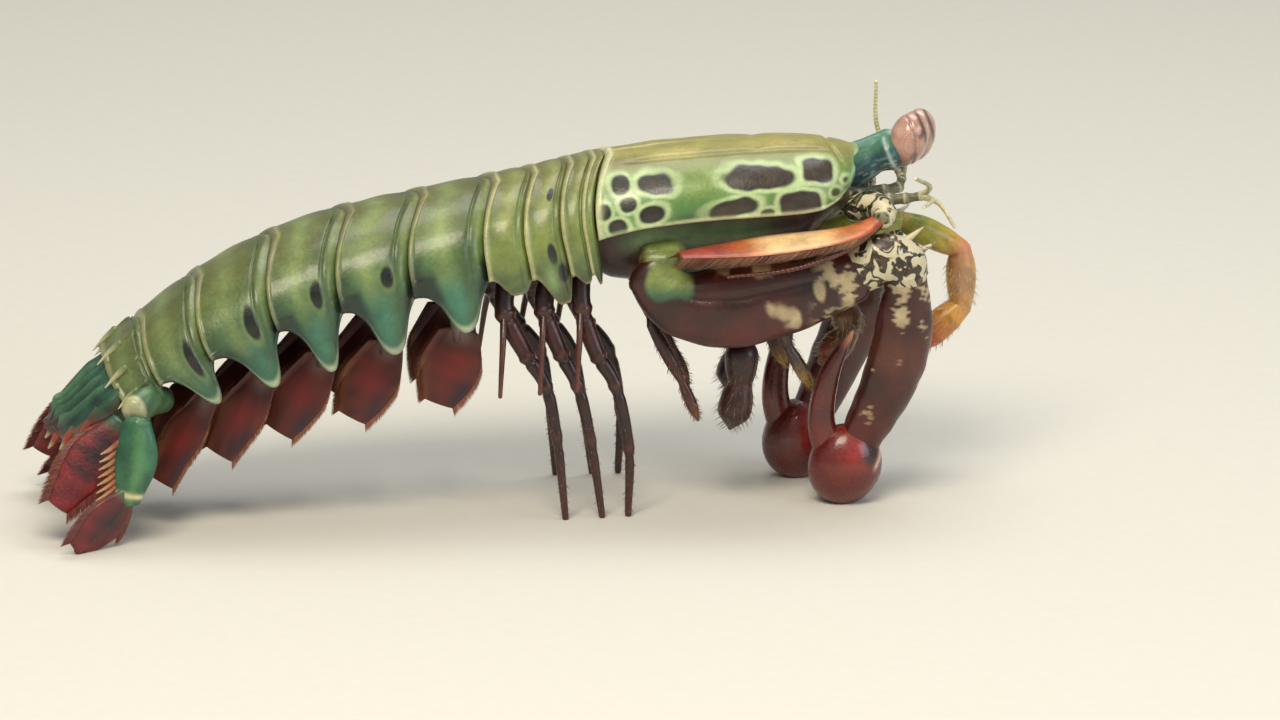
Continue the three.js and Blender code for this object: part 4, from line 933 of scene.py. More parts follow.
# The egg is a ball times its half sizes, drawn in by a bell across the band and leaned forward.
def buildEye(word, sign):
    centre = np.array(eyeCentres[word])
    ball = ballGrid(110, 150)
    # the band runs round the eye, tilted back from upright as seen from the side
    tilt = np.radians(28)
    bandWay = np.array([np.cos(tilt), 0.0, np.sin(tilt)])
    across = ball @ bandWay
    band = across + 0.32 * ball[..., 2] ** 2 - 0.18
    pinch = 1 - 0.035 * bell(band, 0, 0.09)
    egg = ball * np.array(eyeLook["size"]) / 2 * pinch[..., None]
    grid = leaned(egg, np.radians(eyeLook["lean"])) + centre
    tint = clouded(eyeLook["ground"], eyeLook["pale"], grid, 1.8, 30)
    tint = paint(tint, eyeLook["low"], ease(0.2, -0.9, ball[..., 2]) * 0.75)
    tint = paint(tint, eyeLook["band"], bell(band, 0, 0.08) * 0.45)
    tint = paint(tint, "#3d2825", bell(band, 0.6, 0.12) * ease(-0.35, 0.3, ball[..., 2]) * 0.85)
    tint = paint(tint, "#dcbcab", bell(band, 0.9, 0.14) * 0.7)
    for lift in (-0.45, 0.42):
        spot = np.array([0.35, sign * 0.85, lift])
        far = np.linalg.norm(ball - spot / np.linalg.norm(spot), axis=-1)
        tint = paint(tint, "#5a3a30", (1 - ease(0.1, 0.26, far)) * 0.7)
    tint = paint(tint, "#3f5f58", ease(-0.84, -0.97, ball[..., 2]) * 0.8)
    makePiece("eyeBall" + word.title(), closeLimb(grid, tint), cornea, ["eye_" + word])

    path = [(54.6, sign * 2.9, 49.6), (58.6, (sign * 3.2 + centre[1]) / 2, (50.4 + centre[2]) / 2 - 0.6),
            tuple(centre - [0.9, 0, 1.4])]
    stalk, tt, angle = limbGrid(path, [3.8, 4.3, 5.0], [4.2, 4.7, 5.2], rows=70, cols=48)
    stalk = swollen(stalk, 1 + 0.1 * bell(tt, 0.74, 0.06) - 0.12 * bell(tt, 0.5, 0.12))
    axis = stalk.mean(1, keepdims=True)
    stalk = raised(stalk, 0.22 * bell(np.sin(angle), 1, 0.12) * ease(0.1, 0.4, tt))
    up = unit(stalk - axis)[..., 2]
    tint = clouded("#22565a", "#123740", stalk, 1.6, 31)
    tint = paint(tint, "#4f8568", ease(0.2, 0.9, up) * 0.8)
    tint = paint(tint, "#4a4450", (1 - ease(-0.8, 0.0, up)) * ease(0.35, 0.7, tt) * 0.8)
    tint = paint(tint, "#9fb3a6", bell(tt, 0.78, 0.03) * 0.6)
    streaks = (1 - ease(0.1, 0.22, np.abs(wander(stalk, 1.1, 32)))) * (1 - ease(-0.4, 0.5, up))
    tint = paint(tint, "#8fa8a4", streaks * 0.55)
    makePiece("eyeStalk" + word.title(), closeLimb(stalk, tint), limbChitin, ["eye_stalk_" + word])


for word, sign in sides:
    buildEye(word, sign)


# A jointed whip: rings swell at each joint, and pale and dark rings alternate.
def whip(path, row, joints, rows=90, cols=10, first="#8a8a5a", second="#d9d3a8"):
    points, tt, _ = limbGrid(path, row, row, rows=rows, cols=cols, dome=3)
    beat = np.cos(2 * np.pi * joints * tt)
    points = swollen(points, 1 + 0.12 * beat)
    return closeLimb(points, mixed(first, second, 0.5 + 0.5 * beat))


whipPlan = {
    "right": [[(68, -5, 45.4), (70, -8, 42.4)], [(66.6, -7.4, 46.6), (64.4, -13, 47)],
              [(66.4, -6.6, 48.4), (63.4, -11, 51)]],
    "left": [[(60.8, 8.4, 54), (60.4, 7.6, 61.5)], [(65.4, 8.6, 49.6), (66.6, 12, 51.4)],
             [(63.2, 11, 50), (62, 15, 52)]],
}


# First feelers: three joints and three whips. Second feelers: a mottled base, a whip, and the scale,
# a long oval blade swept back beside the carapace, orange by its base, cream, then red.
def buildFeelers(word, sign):
    elbow = (65.6, -3.4, 46.2) if word == "right" else (64, 4.8, 46.8)
    parts = []
    joints = [np.array((58.2, sign * 2.3, 45.6)), np.array((61, sign * 2.6, 45.6)),
              np.array((63.4, (sign * 2.7 + elbow[1]) / 2, 45.8)), np.array(elbow)]
    for k in range(3):
        a, b = joints[k], joints[k + 1]
        row = [2.3 - 0.3 * k, 1.9 - 0.3 * k, 2.2 - 0.35 * k]
        points, tt, _ = limbGrid([a, (a + b) / 2, b], row, row, rows=24, cols=22)
        tint = paint(clouded("#4f5a44", "#77704c", points, 1, 33), "#d8cfa8", bell(tt, 0.9, 0.08) * 0.8)
        parts.append(closeLimb(points, tint))
    for k, path in enumerate(whipPlan[word]):
        parts.append(whip([elbow, *path], [1.15, 0.75, 0.5], 26, first="#7d7a52" if k else "#b9b07c",
                          second="#e6dfb8"))
    makePiece("firstFeeler" + word.title(), parts, limbChitin, ["antennule_" + word])

    parts = []
    for path, wide, deep, cols in (
            ([(55.4, sign * 4.2, 45), (57.4, sign * 6.2, 45.7), (58.6, sign * 8, 45.9)],
             [4.3, 4.7, 4.0], [4.3, 4.6, 4.0], 36),
            ([(58.5, sign * 8.2, 45.8), (58.9, sign * 9.8, 45.3), (58.4, sign * 11.2, 44.7)],
             [4.0, 3.9, 3.0], [4.0, 3.8, 3.0], 32)):
        base, tt, _ = limbGrid(path, wide, deep, (0, 0, 1), rows=34, cols=cols)
        tint = paint(clouded("#6a6a3e", "#41402a", base, 1.4, 34), "#d9cf9f", bell(tt, 0.88, 0.08))
        parts.append(closeLimb(base, tint))
    makePiece("feelerBase" + word.title(), parts, mottledChitin, ["antenna_" + word])

    path = [(58.2, sign * 10.8, 44.7), (53, sign * 13.2, 43.5), (40, sign * 14.6, 42.4),
            (27.5, sign * 14.4, 41.4)]
    wideRow, across = [2.4, 5.4, 7.6, 3.0], (0, sign * 0.96, -0.1)
    scale, tt, angle = limbGrid(path, wideRow, [1.8, 1.2, 1.0, 0.8], across, rows=150, cols=40, power=2.1)
    tint = mixed("#a8481c", "#c9702c", ease(0.04, 0.3, tt))
    tint = paint(tint, "#e3bd86", ease(0.32, 0.5, tt) * (1 - ease(0.62, 0.78, tt)))
    tint = paint(tint, "#9a4234", ease(0.66, 0.88, tt))
    tint = paint(tint, "#5a1714", ease(0.5, 0.95, -np.cos(angle)) * 0.7)
    tint = paint(tint, "#a8301f", bell(np.cos(angle), 0.97, 0.06) * 0.5)
    tint = paint(tint, "#8a2620", ease(0.2, 0.8, wander(scale, 1.2, 35)) * (1 - ease(0.2, 0.36, tt)) * 0.5)
    whipPath = [(58, sign * 11, 44), (52, sign * 16, 41.6), (44, sign * 18, 39.6), (34, sign * 17.6, 38.6)]
    back = whip(whipPath, [1.3, 0.9, 0.7, 0.5], 40, 150, first="#3d1510", second="#6b3424")
    makePiece("scale" + word.title(), [closeLimb(scale, tint), back], limbChitin, ())

    count = 900
    s = np.linspace(0.06, 1.0, count)
    line, forward, out, half = bladeEdge(path, wideRow, across, s)
    fans = []
    for edge in (-1, 1):
        roots = line + out * edge * half * 0.94
        fanned = out * edge * (0.55 if edge > 0 else 0.25) + forward * 0.7 + np.array([0, 0, -0.55])
        ways = unit(fanned + random.normal(0, 0.05, (count, 3)))
        lengths = np.interp(s, [0.06, 0.3, 0.9, 1], [0.7, 1.9, 2.4, 2.0]) * random.uniform(0.85, 1.1, count)
        banded = random.uniform(0, 1, count) * (0.4 + 0.6 * np.abs(np.sin(s * 14)))
        fans.append(bristles(roots, ways, lengths, 0.12, forward * 0.35 * lengths[:, None],
                             mixed("#5a2418", "#a87850", banded), edgePlaces(edge, s)))
    makePiece("scaleFringe" + word.title(), fans, bristleChitin, ())


for word, sign in sides:
    buildFeelers(word, sign)
print("stage: eyes and feelers built")


# Striking limbs

strikePlan = {
    "right": {"wrist": (62.2, 11, 35.6), "bend": (59.8, 9.6, 19.5), "heel": (53.4, 8, 5.9),
              "finger": (54.2, 9.4, 27)},
    "left": {"wrist": (62.2, 11, 35.6), "bend": (55.4, 9.2, 19.5), "heel": (48.6, 6.6, 5.9),
             "finger": (48.6, 8.8, 27)},
}
# X, Z, half length, half height, lean on the outer face of the thigh
thighMarks = [(43.0, 31.9, 2.3, 1.4, -0.25), (44.6, 29.9, 1.3, 1.0, 0.3), (48.4, 35.2, 0.9, 1.3, 0.2),
              (51.4, 36.4, 1.0, 0.9, 0.6), (52.4, 33.4, 0.7, 2.2, 0.35), (53.8, 30.9, 0.7, 1.4, 0.1),
              (39.6, 38.2, 1.4, 1.1, 0.1), (34.0, 38.4, 1.2, 0.8, 0.0)]


# The cream net on the front of the striking limb: three sizes of wandering added up.
def creamNet(points):
    return wander(points, 2.4, 49) + 0.6 * wander(points, 1.3, 59) + 0.4 * wander(points, 0.8, 69)


# A striking limb in four pieces: thigh with its hip, wrist with two spines, arm, and the club, a
# leaned ball flattened at the floor, with its finger.
def buildStrike(word, sign):
    plan = strikePlan[word]
    side = lambda p: np.array([p[0], sign * p[1], p[2]], float)
    heel, wristEnd = side(plan["heel"]), side(plan["wrist"])
    path = [(22.8, sign * 10, 37.6), (27.5, sign * 11, 33.2), (35, sign * 11.6, 32.2),
            (45, sign * 11.8, 34), (54.4, sign * 11.8, 36.4)]
    thigh, tt, angle = limbGrid(path, [4.4, 6, 6.6, 6.4, 5], [7, 10, 12.6, 11.4, 7.8],
                                rows=150, cols=72, power=2.15)
    outside = ease(0.2, 0.9, np.cos(angle) * sign)
    groove = 0.35 * bell(np.sin(angle), 0.35, 0.12) * outside
    groove = groove * ease(0.15, 0.3, tt) * (1 - ease(0.85, 0.95, tt))
    thigh = raised(thigh, 0.1 * wander(thigh, 3, 41) - groove)
    X, Z = thigh[..., 0], thigh[..., 2]
    tint = clouded("#2b0d0a", "#45150f", thigh, 4, 42)
    tint = paint(tint, "#5a2317", bell(Z, 38, 1.6) * bell(X, 38, 8) * 0.7)
    tint = paint(tint, "#140d09", bell(X, 47, 3.0) * bell(Z, 36, 3.4) * 0.8)
    tint = paint(tint, "#5e1c16", bell(Z, 28.6, 2.2) * bell(X, 38, 9) * 0.6)
    patch = outsideOval(X, Z, 25.8, 37.2, 3.0, 3.2, 0.1, 3.2) + 0.8 * wander(thigh, 1.9, 43)
    green = 1 - ease(-0.7, 0.5, patch)
    tint = paint(paint(tint, "#3c6448", green), "#7c8a4a", green * ease(34.4, 37.0, Z))
    tint = paint(tint, "#b3a27c", ease(0.3, 0.5, creamNet(thigh)) * ease(46, 50, X) * 0.8)
    for cx, cz, long, high, lean in thighMarks:
        far = outsideOval(X, Z, cx, cz, long, high, lean, 2.0) + 0.5 * wander(thigh, 1.1, 44)
        tint = paint(tint, "#b9a680", (1 - ease(-0.45, 0.35, far)) * 0.8)
    hipPath = [(26, sign * 6.6, 39.4), (25.0, sign * 8.6, 39.2), (24.8, sign * 9.8, 38.8)]
    hip = limbGrid(hipPath, [6.0, 5.4, 4.8], [7.0, 6.6, 5.8], (0, 0, 1), rows=40, cols=40, power=3.2)[0]
    hipTint = clouded("#6c7b42", "#848f4e", hip, 1.5, 45)
    hipRoot = 1 - ease(21.6, 23.2, hip[..., 0] + 0.5 * wander(hip, 1.3, 53))
    hipTint = paint(hipTint, "#3d1a12", hipRoot)
    makePiece("thigh" + word.title(), [closeLimb(thigh, tint), closeLimb(hip, hipTint)], limbChitin,
              ["raptorial_thigh_" + word])

    wristPath = [(54.6, sign * 11.8, 37), (58.4, sign * 11.8, 39), (61.6, sign * 11.3, 38.4),
                 tuple(wristEnd)]
    wrist, tt, _ = limbGrid(wristPath, [4.9, 6.0, 6.1, 5.2], [6.9, 7.5, 6.8, 6.1],
                            rows=80, cols=60, power=2.2)
    knuckle = 0.25 * bell(tt, 0.12, 0.05) + 0.3 * bell(tt, 0.93, 0.05) - 0.2 * bell(tt, 0.55, 0.12)
    wrist = swollen(wrist, 1 + 0.2 * knuckle)
    parts = [closeLimb(wrist, clouded("#33261a", "#4f3f2a", wrist, 1.5, 46))]
    for root, end in (((61.8, sign * 11.4, 41.4), (64.6, sign * 11.6, 43.6)),
                      ((63.8, sign * 11, 39.4), (66.4, sign * 11.2, 41))):
        parts.append(spine(root, end, 0, [1.3, 0.8, 0.15], [1.3, 0.8, 0.15], ("#8a7f5a", "#f1ead0"), 12))
    makePiece("wrist" + word.title(), parts, mottledChitin, ["raptorial_wrist_" + word])

    top = wristEnd + [0, 0, 1]
    knee = np.array([(wristEnd[0] + plan["bend"][0] + 1.6) / 2, sign * 10.4, 28])
    arm, tt, angle = limbGrid([top, knee, side(plan["bend"]), heel + [0.8, 0, 1.5]],
                              [4.6, 6.2, 6.4, 4.6], [6, 9, 9, 6.2], rows=130, cols=64, power=2.2)
    channel = 0.5 * bell(np.abs(np.sin(angle)), 1, 0.2) * (np.sin(angle) < 0) * ease(0.2, 0.4, tt)
    arm = raised(arm, 0.1 * wander(arm, 2.6, 47) - channel)
    tint = clouded("#30100b", "#481810", arm, 3, 48)
    tint = paint(tint, "#b3a27c", ease(0.1, 0.3, creamNet(arm) - 1.1 * ease(0.1, 0.5, tt)) * 0.85)
    tint = paint(tint, "#6b3a26", bell(tt, 0.5, 0.12) * 0.4)
    tint = paint(tint, "#5c1712", ease(0.7, 0.95, tt) * 0.8)
    makePiece("arm" + word.title(), closeLimb(arm, tint), limbChitin, ["raptorial_arm_" + word])

    ball = ballGrid(90, 110)
    shaped = ball * np.array((11.2, 9.2, 12.6)) / 2
    shaped = shaped * (1 + 0.02 * wander(ball * 5, 3, 50))[..., None]
    bulb = leaned(shaped, 0.25) + heel
    bulb[..., 2] = np.maximum(bulb[..., 2], 0.0)
    tint = clouded("#4f130f", "#681c16", bulb, 3, 51)
    X, Z = bulb[..., 0] - heel[0], bulb[..., 2]
    tint = paint(tint, "#8f2a22", bell(X, 0.6, 2.2) * bell(Z, 8.6, 3.4) * 0.95)
    tint = paint(tint, "#b23a2e", bell(X, 1.2, 1.2) * bell(Z, 9.6, 1.8) * 0.5)
    tint = paint(tint, "#6a2f1c", (1 - ease(0.4, 3.2, Z)) * 0.7)
    oval = outsideOval(X, Z, 3.7, 9.0, 1.3, 2.6, -0.2, 2.0)
    tint = paint(tint, "#2a0d0a", (1 - ease(-0.3, 0.3, oval)) * 0.85)
    tint = paint(tint, "#d9b7a4", bell(oval, 0.45, 0.28) * ease(3.6, 4.4, X) * 0.9)
    fingerPath = [(heel[0] - 1.6, heel[1], heel[2]), (heel[0] - 3.6, heel[1], 12.6),
                  (heel[0] - 2.6, (heel[1] + sign * plan["finger"][1]) / 2, 20), tuple(side(plan["finger"]))]
    finger, tt, _ = limbGrid(fingerPath, [4, 3.6, 3, 0.7], [5, 4.2, 3.2, 0.7], rows=110, cols=36, power=2.1)
    fingerTint = clouded("#55160f", "#702218", finger, 2.5, 52)
    fingerTint = paint(fingerTint, "#3a120e", ease(0.25, 0.7, tt) * 0.7)
    fingerTint = paint(fingerTint, "#c98a6a", ease(0.86, 0.98, tt) * 0.8)
    makePiece("club" + word.title(), [closeLimb(bulb, tint), closeLimb(finger, fingerTint)], clubChitin,
              ["raptorial_club_" + word])


for word, sign in sides:
    buildStrike(word, sign)
print("stage: striking limbs built")


# Mouth limbs: each has spindle-shaped segments that sink into one another at the joints.
mouthThick = {"1": [1.8, 1.8, 1.9, 0.8], "3": [3, 3.4, 4, 4.2, 2], "4": [3.2, 3, 4.6, 0.9],
              "5": [2.2, 1.8, 1.6, 0.7]}
mouthPlan = [
    ("maxilliped_1_right", [(45, -2.6, 36), (43.6, -5, 29), (45, -6, 24), (48.8, -6.2, 17.2)]),
    ("maxilliped_1_left", [(45, 2.6, 36), (44, 4.6, 29), (43.4, 3.4, 24), (46, 2, 18.6)]),
    ("maxilliped_3_right", [(50, -3.2, 40), (52.6, -4, 34.6), (54, -4.4, 30), (54.4, -4.6, 25.4),
                            (50.4, -4.2, 21)]),
    ("maxilliped_3_left", [(51, 3, 40), (64, 4.4, 40.4), (73.2, 5, 35.4), (73.4, 5, 26.4),
                           (65.8, 4.4, 20.2)]),
    ("maxilliped_4_right", [(35, -3.4, 36), (38, -6, 26), (37.6, -6.6, 18.6), (36, -6.6, 11.8)]),
    ("maxilliped_4_left", [(35, 3.4, 36), (38.6, 6, 26), (39.4, 6.4, 20), (37.6, 6.4, 14)]),
    ("maxilliped_5_right", [(25.6, -3.4, 36), (24, -6.4, 28.4), (28.6, -7.4, 19.6), (31, -7.6, 13.6)]),
    ("maxilliped_5_left", [(25.6, 3.4, 36), (24.6, 6.2, 28.4), (29.4, 6.8, 20.6), (31.6, 7, 15)]),
]
mouthTints = {"1": ("#75665f", "#57413b", "#b5913a"), "3": ("#989e36", "#d39a30", "#b03620"),
              "4": ("#260c0a", "#34110d", "#1d0908"), "5": ("#28100c", "#3d1811", "#66402c"),
              "maxilliped_3_right": ("#5b3a26", "#6e4a2c", "#8a3a26")}


# Each segment's width runs up to a swelling and down again, and its last ones carry bristles that
# stand out all round and lean forward.
def buildMouthLimb(name, joints):
    pair = name[len("maxilliped_")]
    thick = mouthThick[pair]
    near, far, end = mouthTints.get(name, mouthTints[pair])
    parts = []
    hairs = []
    for k in range(len(joints) - 1):
        a, b = np.array(joints[k], float), np.array(joints[k + 1], float)
        swell = max(thick[k], thick[k + 1]) * 1.08
        row = [thick[k] * 0.8, swell, swell * 0.95, thick[k + 1] * 0.75]
        path = [a, a + (b - a) * 0.33, a + (b - a) * 0.7, b]
        points, tt, angle = limbGrid(path, row, row, rows=44, cols=30, power=2.1, dome=5)
        part = (k + tt) / (len(joints) - 1)
        tint = mixed(near, far, ease(0.25, 0.6, part))
        tint = paint(tint, end, ease(0.75, 0.98, part))
        seam = bell(tt, 0.0, 0.07) * 0.5 + bell(tt, 1.0, 0.05) * 0.4
        tint = paint(tint, "#c9985c" if pair == "3" else "#55301f", seam)
        if name == "maxilliped_3_left":
            tint = paint(tint, "#c47a4c", bell(part, 0.5, 0.05) * 0.8)
            tint = paint(tint, "#a8847c", ease(0.2, 0.9, -np.cos(angle)) * bell(part, 0.62, 0.12) * 0.6)
            tint = paint(tint, "#d6ad30", ease(0.3, 0.9, np.cos(angle)) * bell(part, 0.6, 0.14) * 0.7)
            moss = ease(0.2, 0.8, wander(points, 1.8, 54)) * (1 - ease(0.3, 0.45, part))
            tint = paint(tint, "#5c6a28", moss * 0.5)
        tint = paint(tint, "#2a100c", ease(0.3, 0.9, wander(points, 1.6, 55)) * 0.25)
        parts.append(closeLimb(points, tint))
        if k >= len(joints) - 3:
            count = 150
            s = random.uniform(0.25 if k < len(joints) - 2 else 0.05, 0.97, count)
            around = random.uniform(0, 2 * np.pi, count)
            line = smoothLine(path, s)
            forward = unit(b - a)
            one = unit(np.cross(forward, [0.2, 1, 0.1]))
            two = np.cross(forward, one)
            out = one * np.cos(around)[:, None] + two * np.sin(around)[:, None]
            roots = line + out * smoothRow(row, s)[:, None] / 2 * 0.9
            ways = unit(out + forward * 0.9)
            lengths = random.uniform(0.6, 1.3, count) * (0.7 + 0.3 * thick[k])
            ends = ("#c9a27a", "#efe0bd") if pair == "3" else ("#5a2a20", "#a8805f")
            colour = mixed(*ends, random.uniform(0, 1, count))
            keep = (roots + ways * lengths[:, None])[:, 2] > 0.4
            bend = forward * 0.1 * lengths[:, None]
            hairs.append(bristles(roots[keep], ways[keep], lengths[keep] * 0.6, 0.1, bend[keep],
                                  colour[keep], roundPlaces(around, s)[keep]))
    label = name.replace("maxilliped_", "mouthLimb").replace("_right", "Right").replace("_left", "Left")
    makePiece(label, parts, limbChitin, [name])
    makePiece(label + "Bristles", hairs, bristleChitin, ())


for name, joints in mouthPlan:
    buildMouthLimb(name, joints)


# Walking legs: hip, long upper and lower lengths and a foot, with a slender side branch.
# Name, X at the body, depth of the belly there, then X, Y, Z of the hip, three joints and the foot.
legPlan = [
    ("walking_leg_1", 14.8, 15.6,
     [(13.2, 7.4, 32.4), (15.4, 9, 25), (17.9, 9.8, 20.6), (20, 10.6, 10.6), (19.8, 11.4, 0.3)]),
    ("walking_leg_2", 10.6, 14.8,
     [(7.6, 7.4, 32.2), (9.8, 9, 25.6), (12.2, 9.8, 20.8), (14.2, 10.6, 12), (15.8, 11.6, 0.3)]),
    ("walking_leg_3", 4.8, 13.8,
     [(1.6, 7.4, 32), (4.6, 9, 25.4), (7.4, 9.8, 20.8), (9, 10.8, 13), (10.2, 11.8, 0.3)]),
]
legLook = {"wide": [3.2, 2.8, 2.3, 1.9, 1.5, 1.0], "deep": [3.4, 3, 2.5, 2, 1.6, 1.0],
           "knees": (0.22, 0.42, 0.61, 0.8), "spread": 1.6}


# The leg swells at each knee and narrows just below it; the far legs stand a little further on.
def buildLeg(name, root, belly, knees, word, sign):
    spread = legLook["spread"] if sign > 0 else 0
    top = under(np.array(root), np.array(sign * 5.4), belly - 1.5)
    joints = [(x + spread * min(1, k / 2), sign * y, z) for k, (x, y, z) in enumerate(knees)]
    path = [tuple(top), *joints]
    leg, tt, _ = limbGrid(path, legLook["wide"], legLook["deep"], rows=170, cols=24, power=2.0)
    bumps = sum(bell(tt, place, 0.014) for place in legLook["knees"])
    waists = sum(bell(tt, place + 0.03, 0.012) for place in legLook["knees"])
    leg = swollen(leg, 1 + 0.13 * bumps - 0.14 * waists)
    leg[..., 2] = np.maximum(leg[..., 2], 0)
    tint = clouded("#330f0d", "#1d0908", leg, 2, 56)
    tint = paint(tint, "#5c2f22", bumps * 0.5)
    tint = paint(tint, "#481a14", bell(tt, 0.32, 0.08) * 0.6)
    tint = paint(tint, "#50241b", ease(0.8, 0.98, tt) * 0.6)
    hip = np.array(joints[0])
    branchPath = [tuple(hip), (hip[0] - 0.6, sign * 10.4, hip[2] - 4),
                  (hip[0] - 1.4, sign * 13, hip[2] - 12)]
    branch, bt, _ = limbGrid(branchPath, [1.3, 1.0, 0.65], [1.3, 1.0, 0.65], rows=50, cols=14)
    branchTint = mixed("#33110d", "#5c3226", bt)
    label = name.replace("walking_leg_", "leg") + word.title()
    makePiece(label, [closeLimb(leg, tint), closeLimb(branch, branchTint)], limbChitin, [f"{name}_{word}"])
    count = 130
    s = random.uniform(0.72, 0.99, count)
    around = random.uniform(0, 2 * np.pi, count)
    line = smoothLine(path, s)
    out = np.stack([np.cos(around), np.sin(around), 0 * around], -1)
    roots = line + out * smoothRow(legLook["wide"], s)[:, None] / 2 * 0.85
    ways = unit(out + np.array([0, 0, -0.8]))
    lengths = random.uniform(0.4, 0.9, count)
    keep = (roots + ways * lengths[:, None])[:, 2] > 0.2
    colour = mixed("#5a2a20", "#a07a5c", random.uniform(0, 1, count))
    part = bristles(roots[keep], ways[keep], lengths[keep], 0.09, 0 * roots[keep], colour[keep],
                    roundPlaces(around, s)[keep])
    makePiece(label + "Bristles", part, bristleChitin, ())


for word, sign in sides:
    for name, root, belly, knees in legPlan:
        buildLeg(name, root, belly, knees, word, sign)
print("stage: mouth limbs and legs built")


# Swimming legs: a stalk and two fringed flaps under each of the first five abdominal rings.
# Each flap widens and narrows along its way, lies further back on each ring than on the one before,
# and carries fine ribs.
def buildSwimLeg(k, word, sign):
    ring = thoraxRings + k
    belly = ringPlan[ring][4]
    x = (ringPlan[ring - 1][1] + ringPlan[ring][1]) / 2
    size = belly / ringPlan[thoraxRings][4] * (1 - 0.05 * k)
    sweepBack = 1.4 + 1.1 * k
    at = lambda y, depth, rear=0: under(np.array(float(x)), np.array(float(y)), depth, rear)
    deep = lambda part: belly + part * size
    stalkPath = [at(sign * 5.6, belly - 0.8), at(sign * 6.2, deep(5), 0.3), at(sign * 7, deep(9.2), 1)]
    stalk, tt, _ = limbGrid(stalkPath, [3.3, 3, 2.6], [2.3, 1.9, 1.5], rows=40, cols=28)
    tint = paint(clouded("#4a2a22", "#6b4f45", stalk, 1.8, 57), "#b59f94", bell(tt, 0.72, 0.2) * 0.7)
    parts = [closeLimb(stalk, tint)]
    fans = []
    for inner in (0, 1):
        path = [at(sign * (7 - inner), deep(7.6), 0.5),
                at(sign * (7.6 - 3 * inner), deep(12.4), 1.2 + sweepBack),
                at(sign * (7.4 - 3.4 * inner), deep(18.2), 2.6 + 2 * sweepBack)]
        across = (0.9, sign * (0.35 - 0.7 * inner), 0.1)
        wideRow = [6.6 * size, 8.6 * size, 9.6 * size, 8.0 * size, 4.8]
        flap, tt, angle = limbGrid(path, wideRow, [1.1, 0.9, 0.8, 0.7, 0.5], across,
                                   rows=64, cols=36, power=2.3)
        vein = 0.14 * bell(np.cos(angle), 0, 0.14) + 0.07 * np.sin(np.cos(angle) * 24) * ease(0.2, 0.5, tt)
        flap = raised(flap, 0.5 * vein)
        tint = clouded("#6b281c", "#401512", flap, 2.2, 58 + k)
        tint = paint(tint, "#7a1614", bell(tt, 0.55, 0.22) * bell(np.cos(angle), 0.1, 0.45) * 0.7)
        tint = paint(tint, "#1f1a30", bell(tt, 0.8, 0.2) * bell(np.cos(angle), 0.7, 0.35) * 0.75)
        tint = paint(tint, "#8f5a3c", bell(np.cos(angle), -0.85, 0.25) * ease(0.3, 0.6, tt) * 0.5)
        tint = paint(tint, "#a88f84", (1 - ease(0.0, 0.3, tt)) * bell(np.cos(angle), 0.2, 0.5) * 0.8)
        parts.append(closeLimb(flap, tint))
        count = 300
        s = np.linspace(0.25, 1.0, count)
        line, forward, out, half = bladeEdge(path, wideRow, across, s)
        for edge in (-1, 1):
            roots = line + out * edge * half * 0.93
            lean = np.interp(s, [0.25, 1], [0.6, 1.5])[:, None]
            ways = unit(out * edge + forward * lean + random.normal(0, 0.06, (count, 3)))
            lengths = np.interp(s, [0.25, 0.5, 1], [0.5, 1.1, 1.3]) * random.uniform(0.8, 1.1, count)
            colour = mixed("#6b2a1e", "#a8714f", random.uniform(0, 1, count))
            fans.append(bristles(roots, ways, lengths, 0.11, forward * 0.2 * lengths[:, None], colour,
                                 edgePlaces(edge, s)))
    makePiece(f"swimLeg{k + 1}{word.title()}", parts, flapChitin, [f"pleopod_{k + 1}_{word}"])
    makePiece(f"swimFringe{k + 1}{word.title()}", fans, bristleChitin, ())


for word, sign in sides:
    for k in range(5):
        buildSwimLeg(k, word, sign)
print("stage: swimming legs built")


# Floor, light and camera

stageLook = {
    "floor": "#d9d6cc", "floorSize": 4.0, "world": "#e9ebe8", "worldStrength": 0.42,
    "aim": (19.5, 0.0, 21.16), "turn": -8, "lift": 16, "far": 1500, "frameWidth": 193.9, "sensor": 36,
    # name, place and aim in metres, size, watts, colour
    "lamps": [("key", (-0.12, -0.35, 0.55), (0.0, 0, 0.03), (0.35, 0.25), 3.2, "#fff4e0"),
              ("top", (0.1, 0.15, 0.6), (0.0, 0, 0.03), (0.5, 0.3), 1.7, "#ffffff"),
              ("fill", (0.5, -0.35, 0.25), (0.02, 0, 0.03), (0.3, 0.3), 1.0, "#e8f0ff")],
}


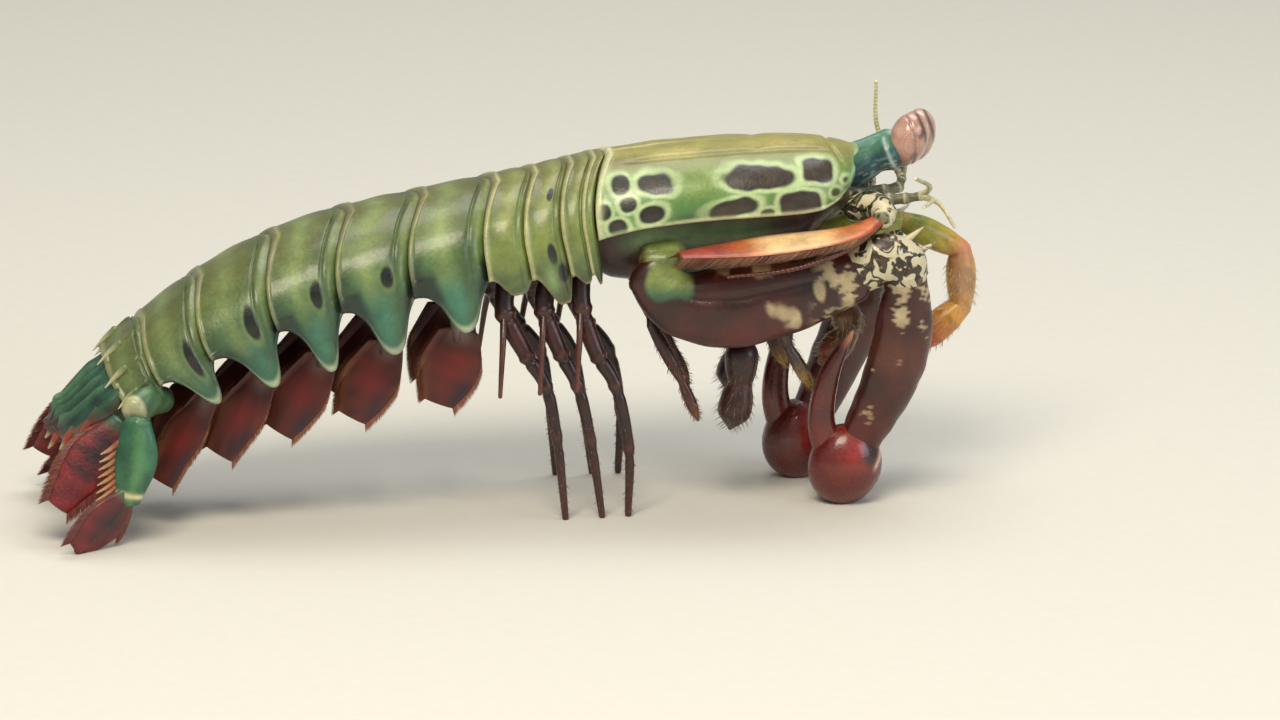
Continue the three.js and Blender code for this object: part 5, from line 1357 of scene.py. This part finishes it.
# The camera stands off its aim by the distance along its turn and lift, and its lens makes the frame
# as wide as given at the aim.
def buildStage():
    material, tree, surface, place = shader("pale matt floor")
    grain = addNode(tree, "ShaderNodeTexNoise", {}, {"Scale": 400.0, "Detail": 4}, {"Vector": place})
    base = linear(stageLook["floor"])
    dark, pale = (*(base * 0.97), 1), (*np.minimum(base * 1.03, 1), 1)
    colour = addNode(tree, "ShaderNodeMix", {"data_type": "RGBA"}, {6: dark, 7: pale},
                     {0: grain.outputs["Fac"]})
    tree.links.new(colour.outputs[2], surface.inputs["Base Color"])
    surface.inputs["Roughness"].default_value = 0.85
    mesh = bpy.data.meshes.new("floor")
    size = stageLook["floorSize"]
    corners = [(-size, -size, 0), (size, -size, 0), (size, size, 0), (-size, size, 0)]
    mesh.from_pydata(corners, [], [(0, 1, 2, 3)])
    mesh.materials.append(material)
    floor = bpy.data.objects.new("floor", mesh)
    bpy.context.scene.collection.objects.link(floor)

    world = bpy.context.scene.world or bpy.data.worlds.new("studio")
    bpy.context.scene.world = world
    world.use_nodes = True
    back = world.node_tree.nodes.get("Background") or world.node_tree.nodes.new("ShaderNodeBackground")
    back.inputs["Color"].default_value = (*linear(stageLook["world"]), 1)
    back.inputs["Strength"].default_value = stageLook["worldStrength"]

    for name, place, target, size, power, code in stageLook["lamps"]:
        light = bpy.data.lights.new(name, "AREA")
        light.shape = "RECTANGLE"
        light.size, light.size_y = size
        light.energy = power
        light.color = linear(code)
        holder = bpy.data.objects.new(name, light)
        holder.location = place
        holder.rotation_euler = (Vector(target) - Vector(place)).to_track_quat("-Z", "Y").to_euler()
        bpy.context.scene.collection.objects.link(holder)

    turn, lift = np.radians(stageLook["turn"]), np.radians(stageLook["lift"])
    aim = Vector(stageLook["aim"]) / 1000
    far = stageLook["far"] / 1000
    camera = bpy.data.cameras.new("camera")
    camera.sensor_width = stageLook["sensor"]
    camera.lens = stageLook["sensor"] * stageLook["far"] / stageLook["frameWidth"]
    camera.clip_end = 20
    holder = bpy.data.objects.new("camera", camera)
    reach = Vector((np.sin(turn) * np.cos(lift), -np.cos(turn) * np.cos(lift), np.sin(lift)))
    holder.location = aim + reach * far
    holder.rotation_euler = (aim - holder.location).to_track_quat("-Z", "Y").to_euler()
    bpy.context.scene.collection.objects.link(holder)
    bpy.context.scene.camera = holder
    bpy.context.scene.view_settings.view_transform = "Standard"
    bpy.context.scene.view_settings.look = "None"


buildStage()
print("stage: floor, lights and camera placed")
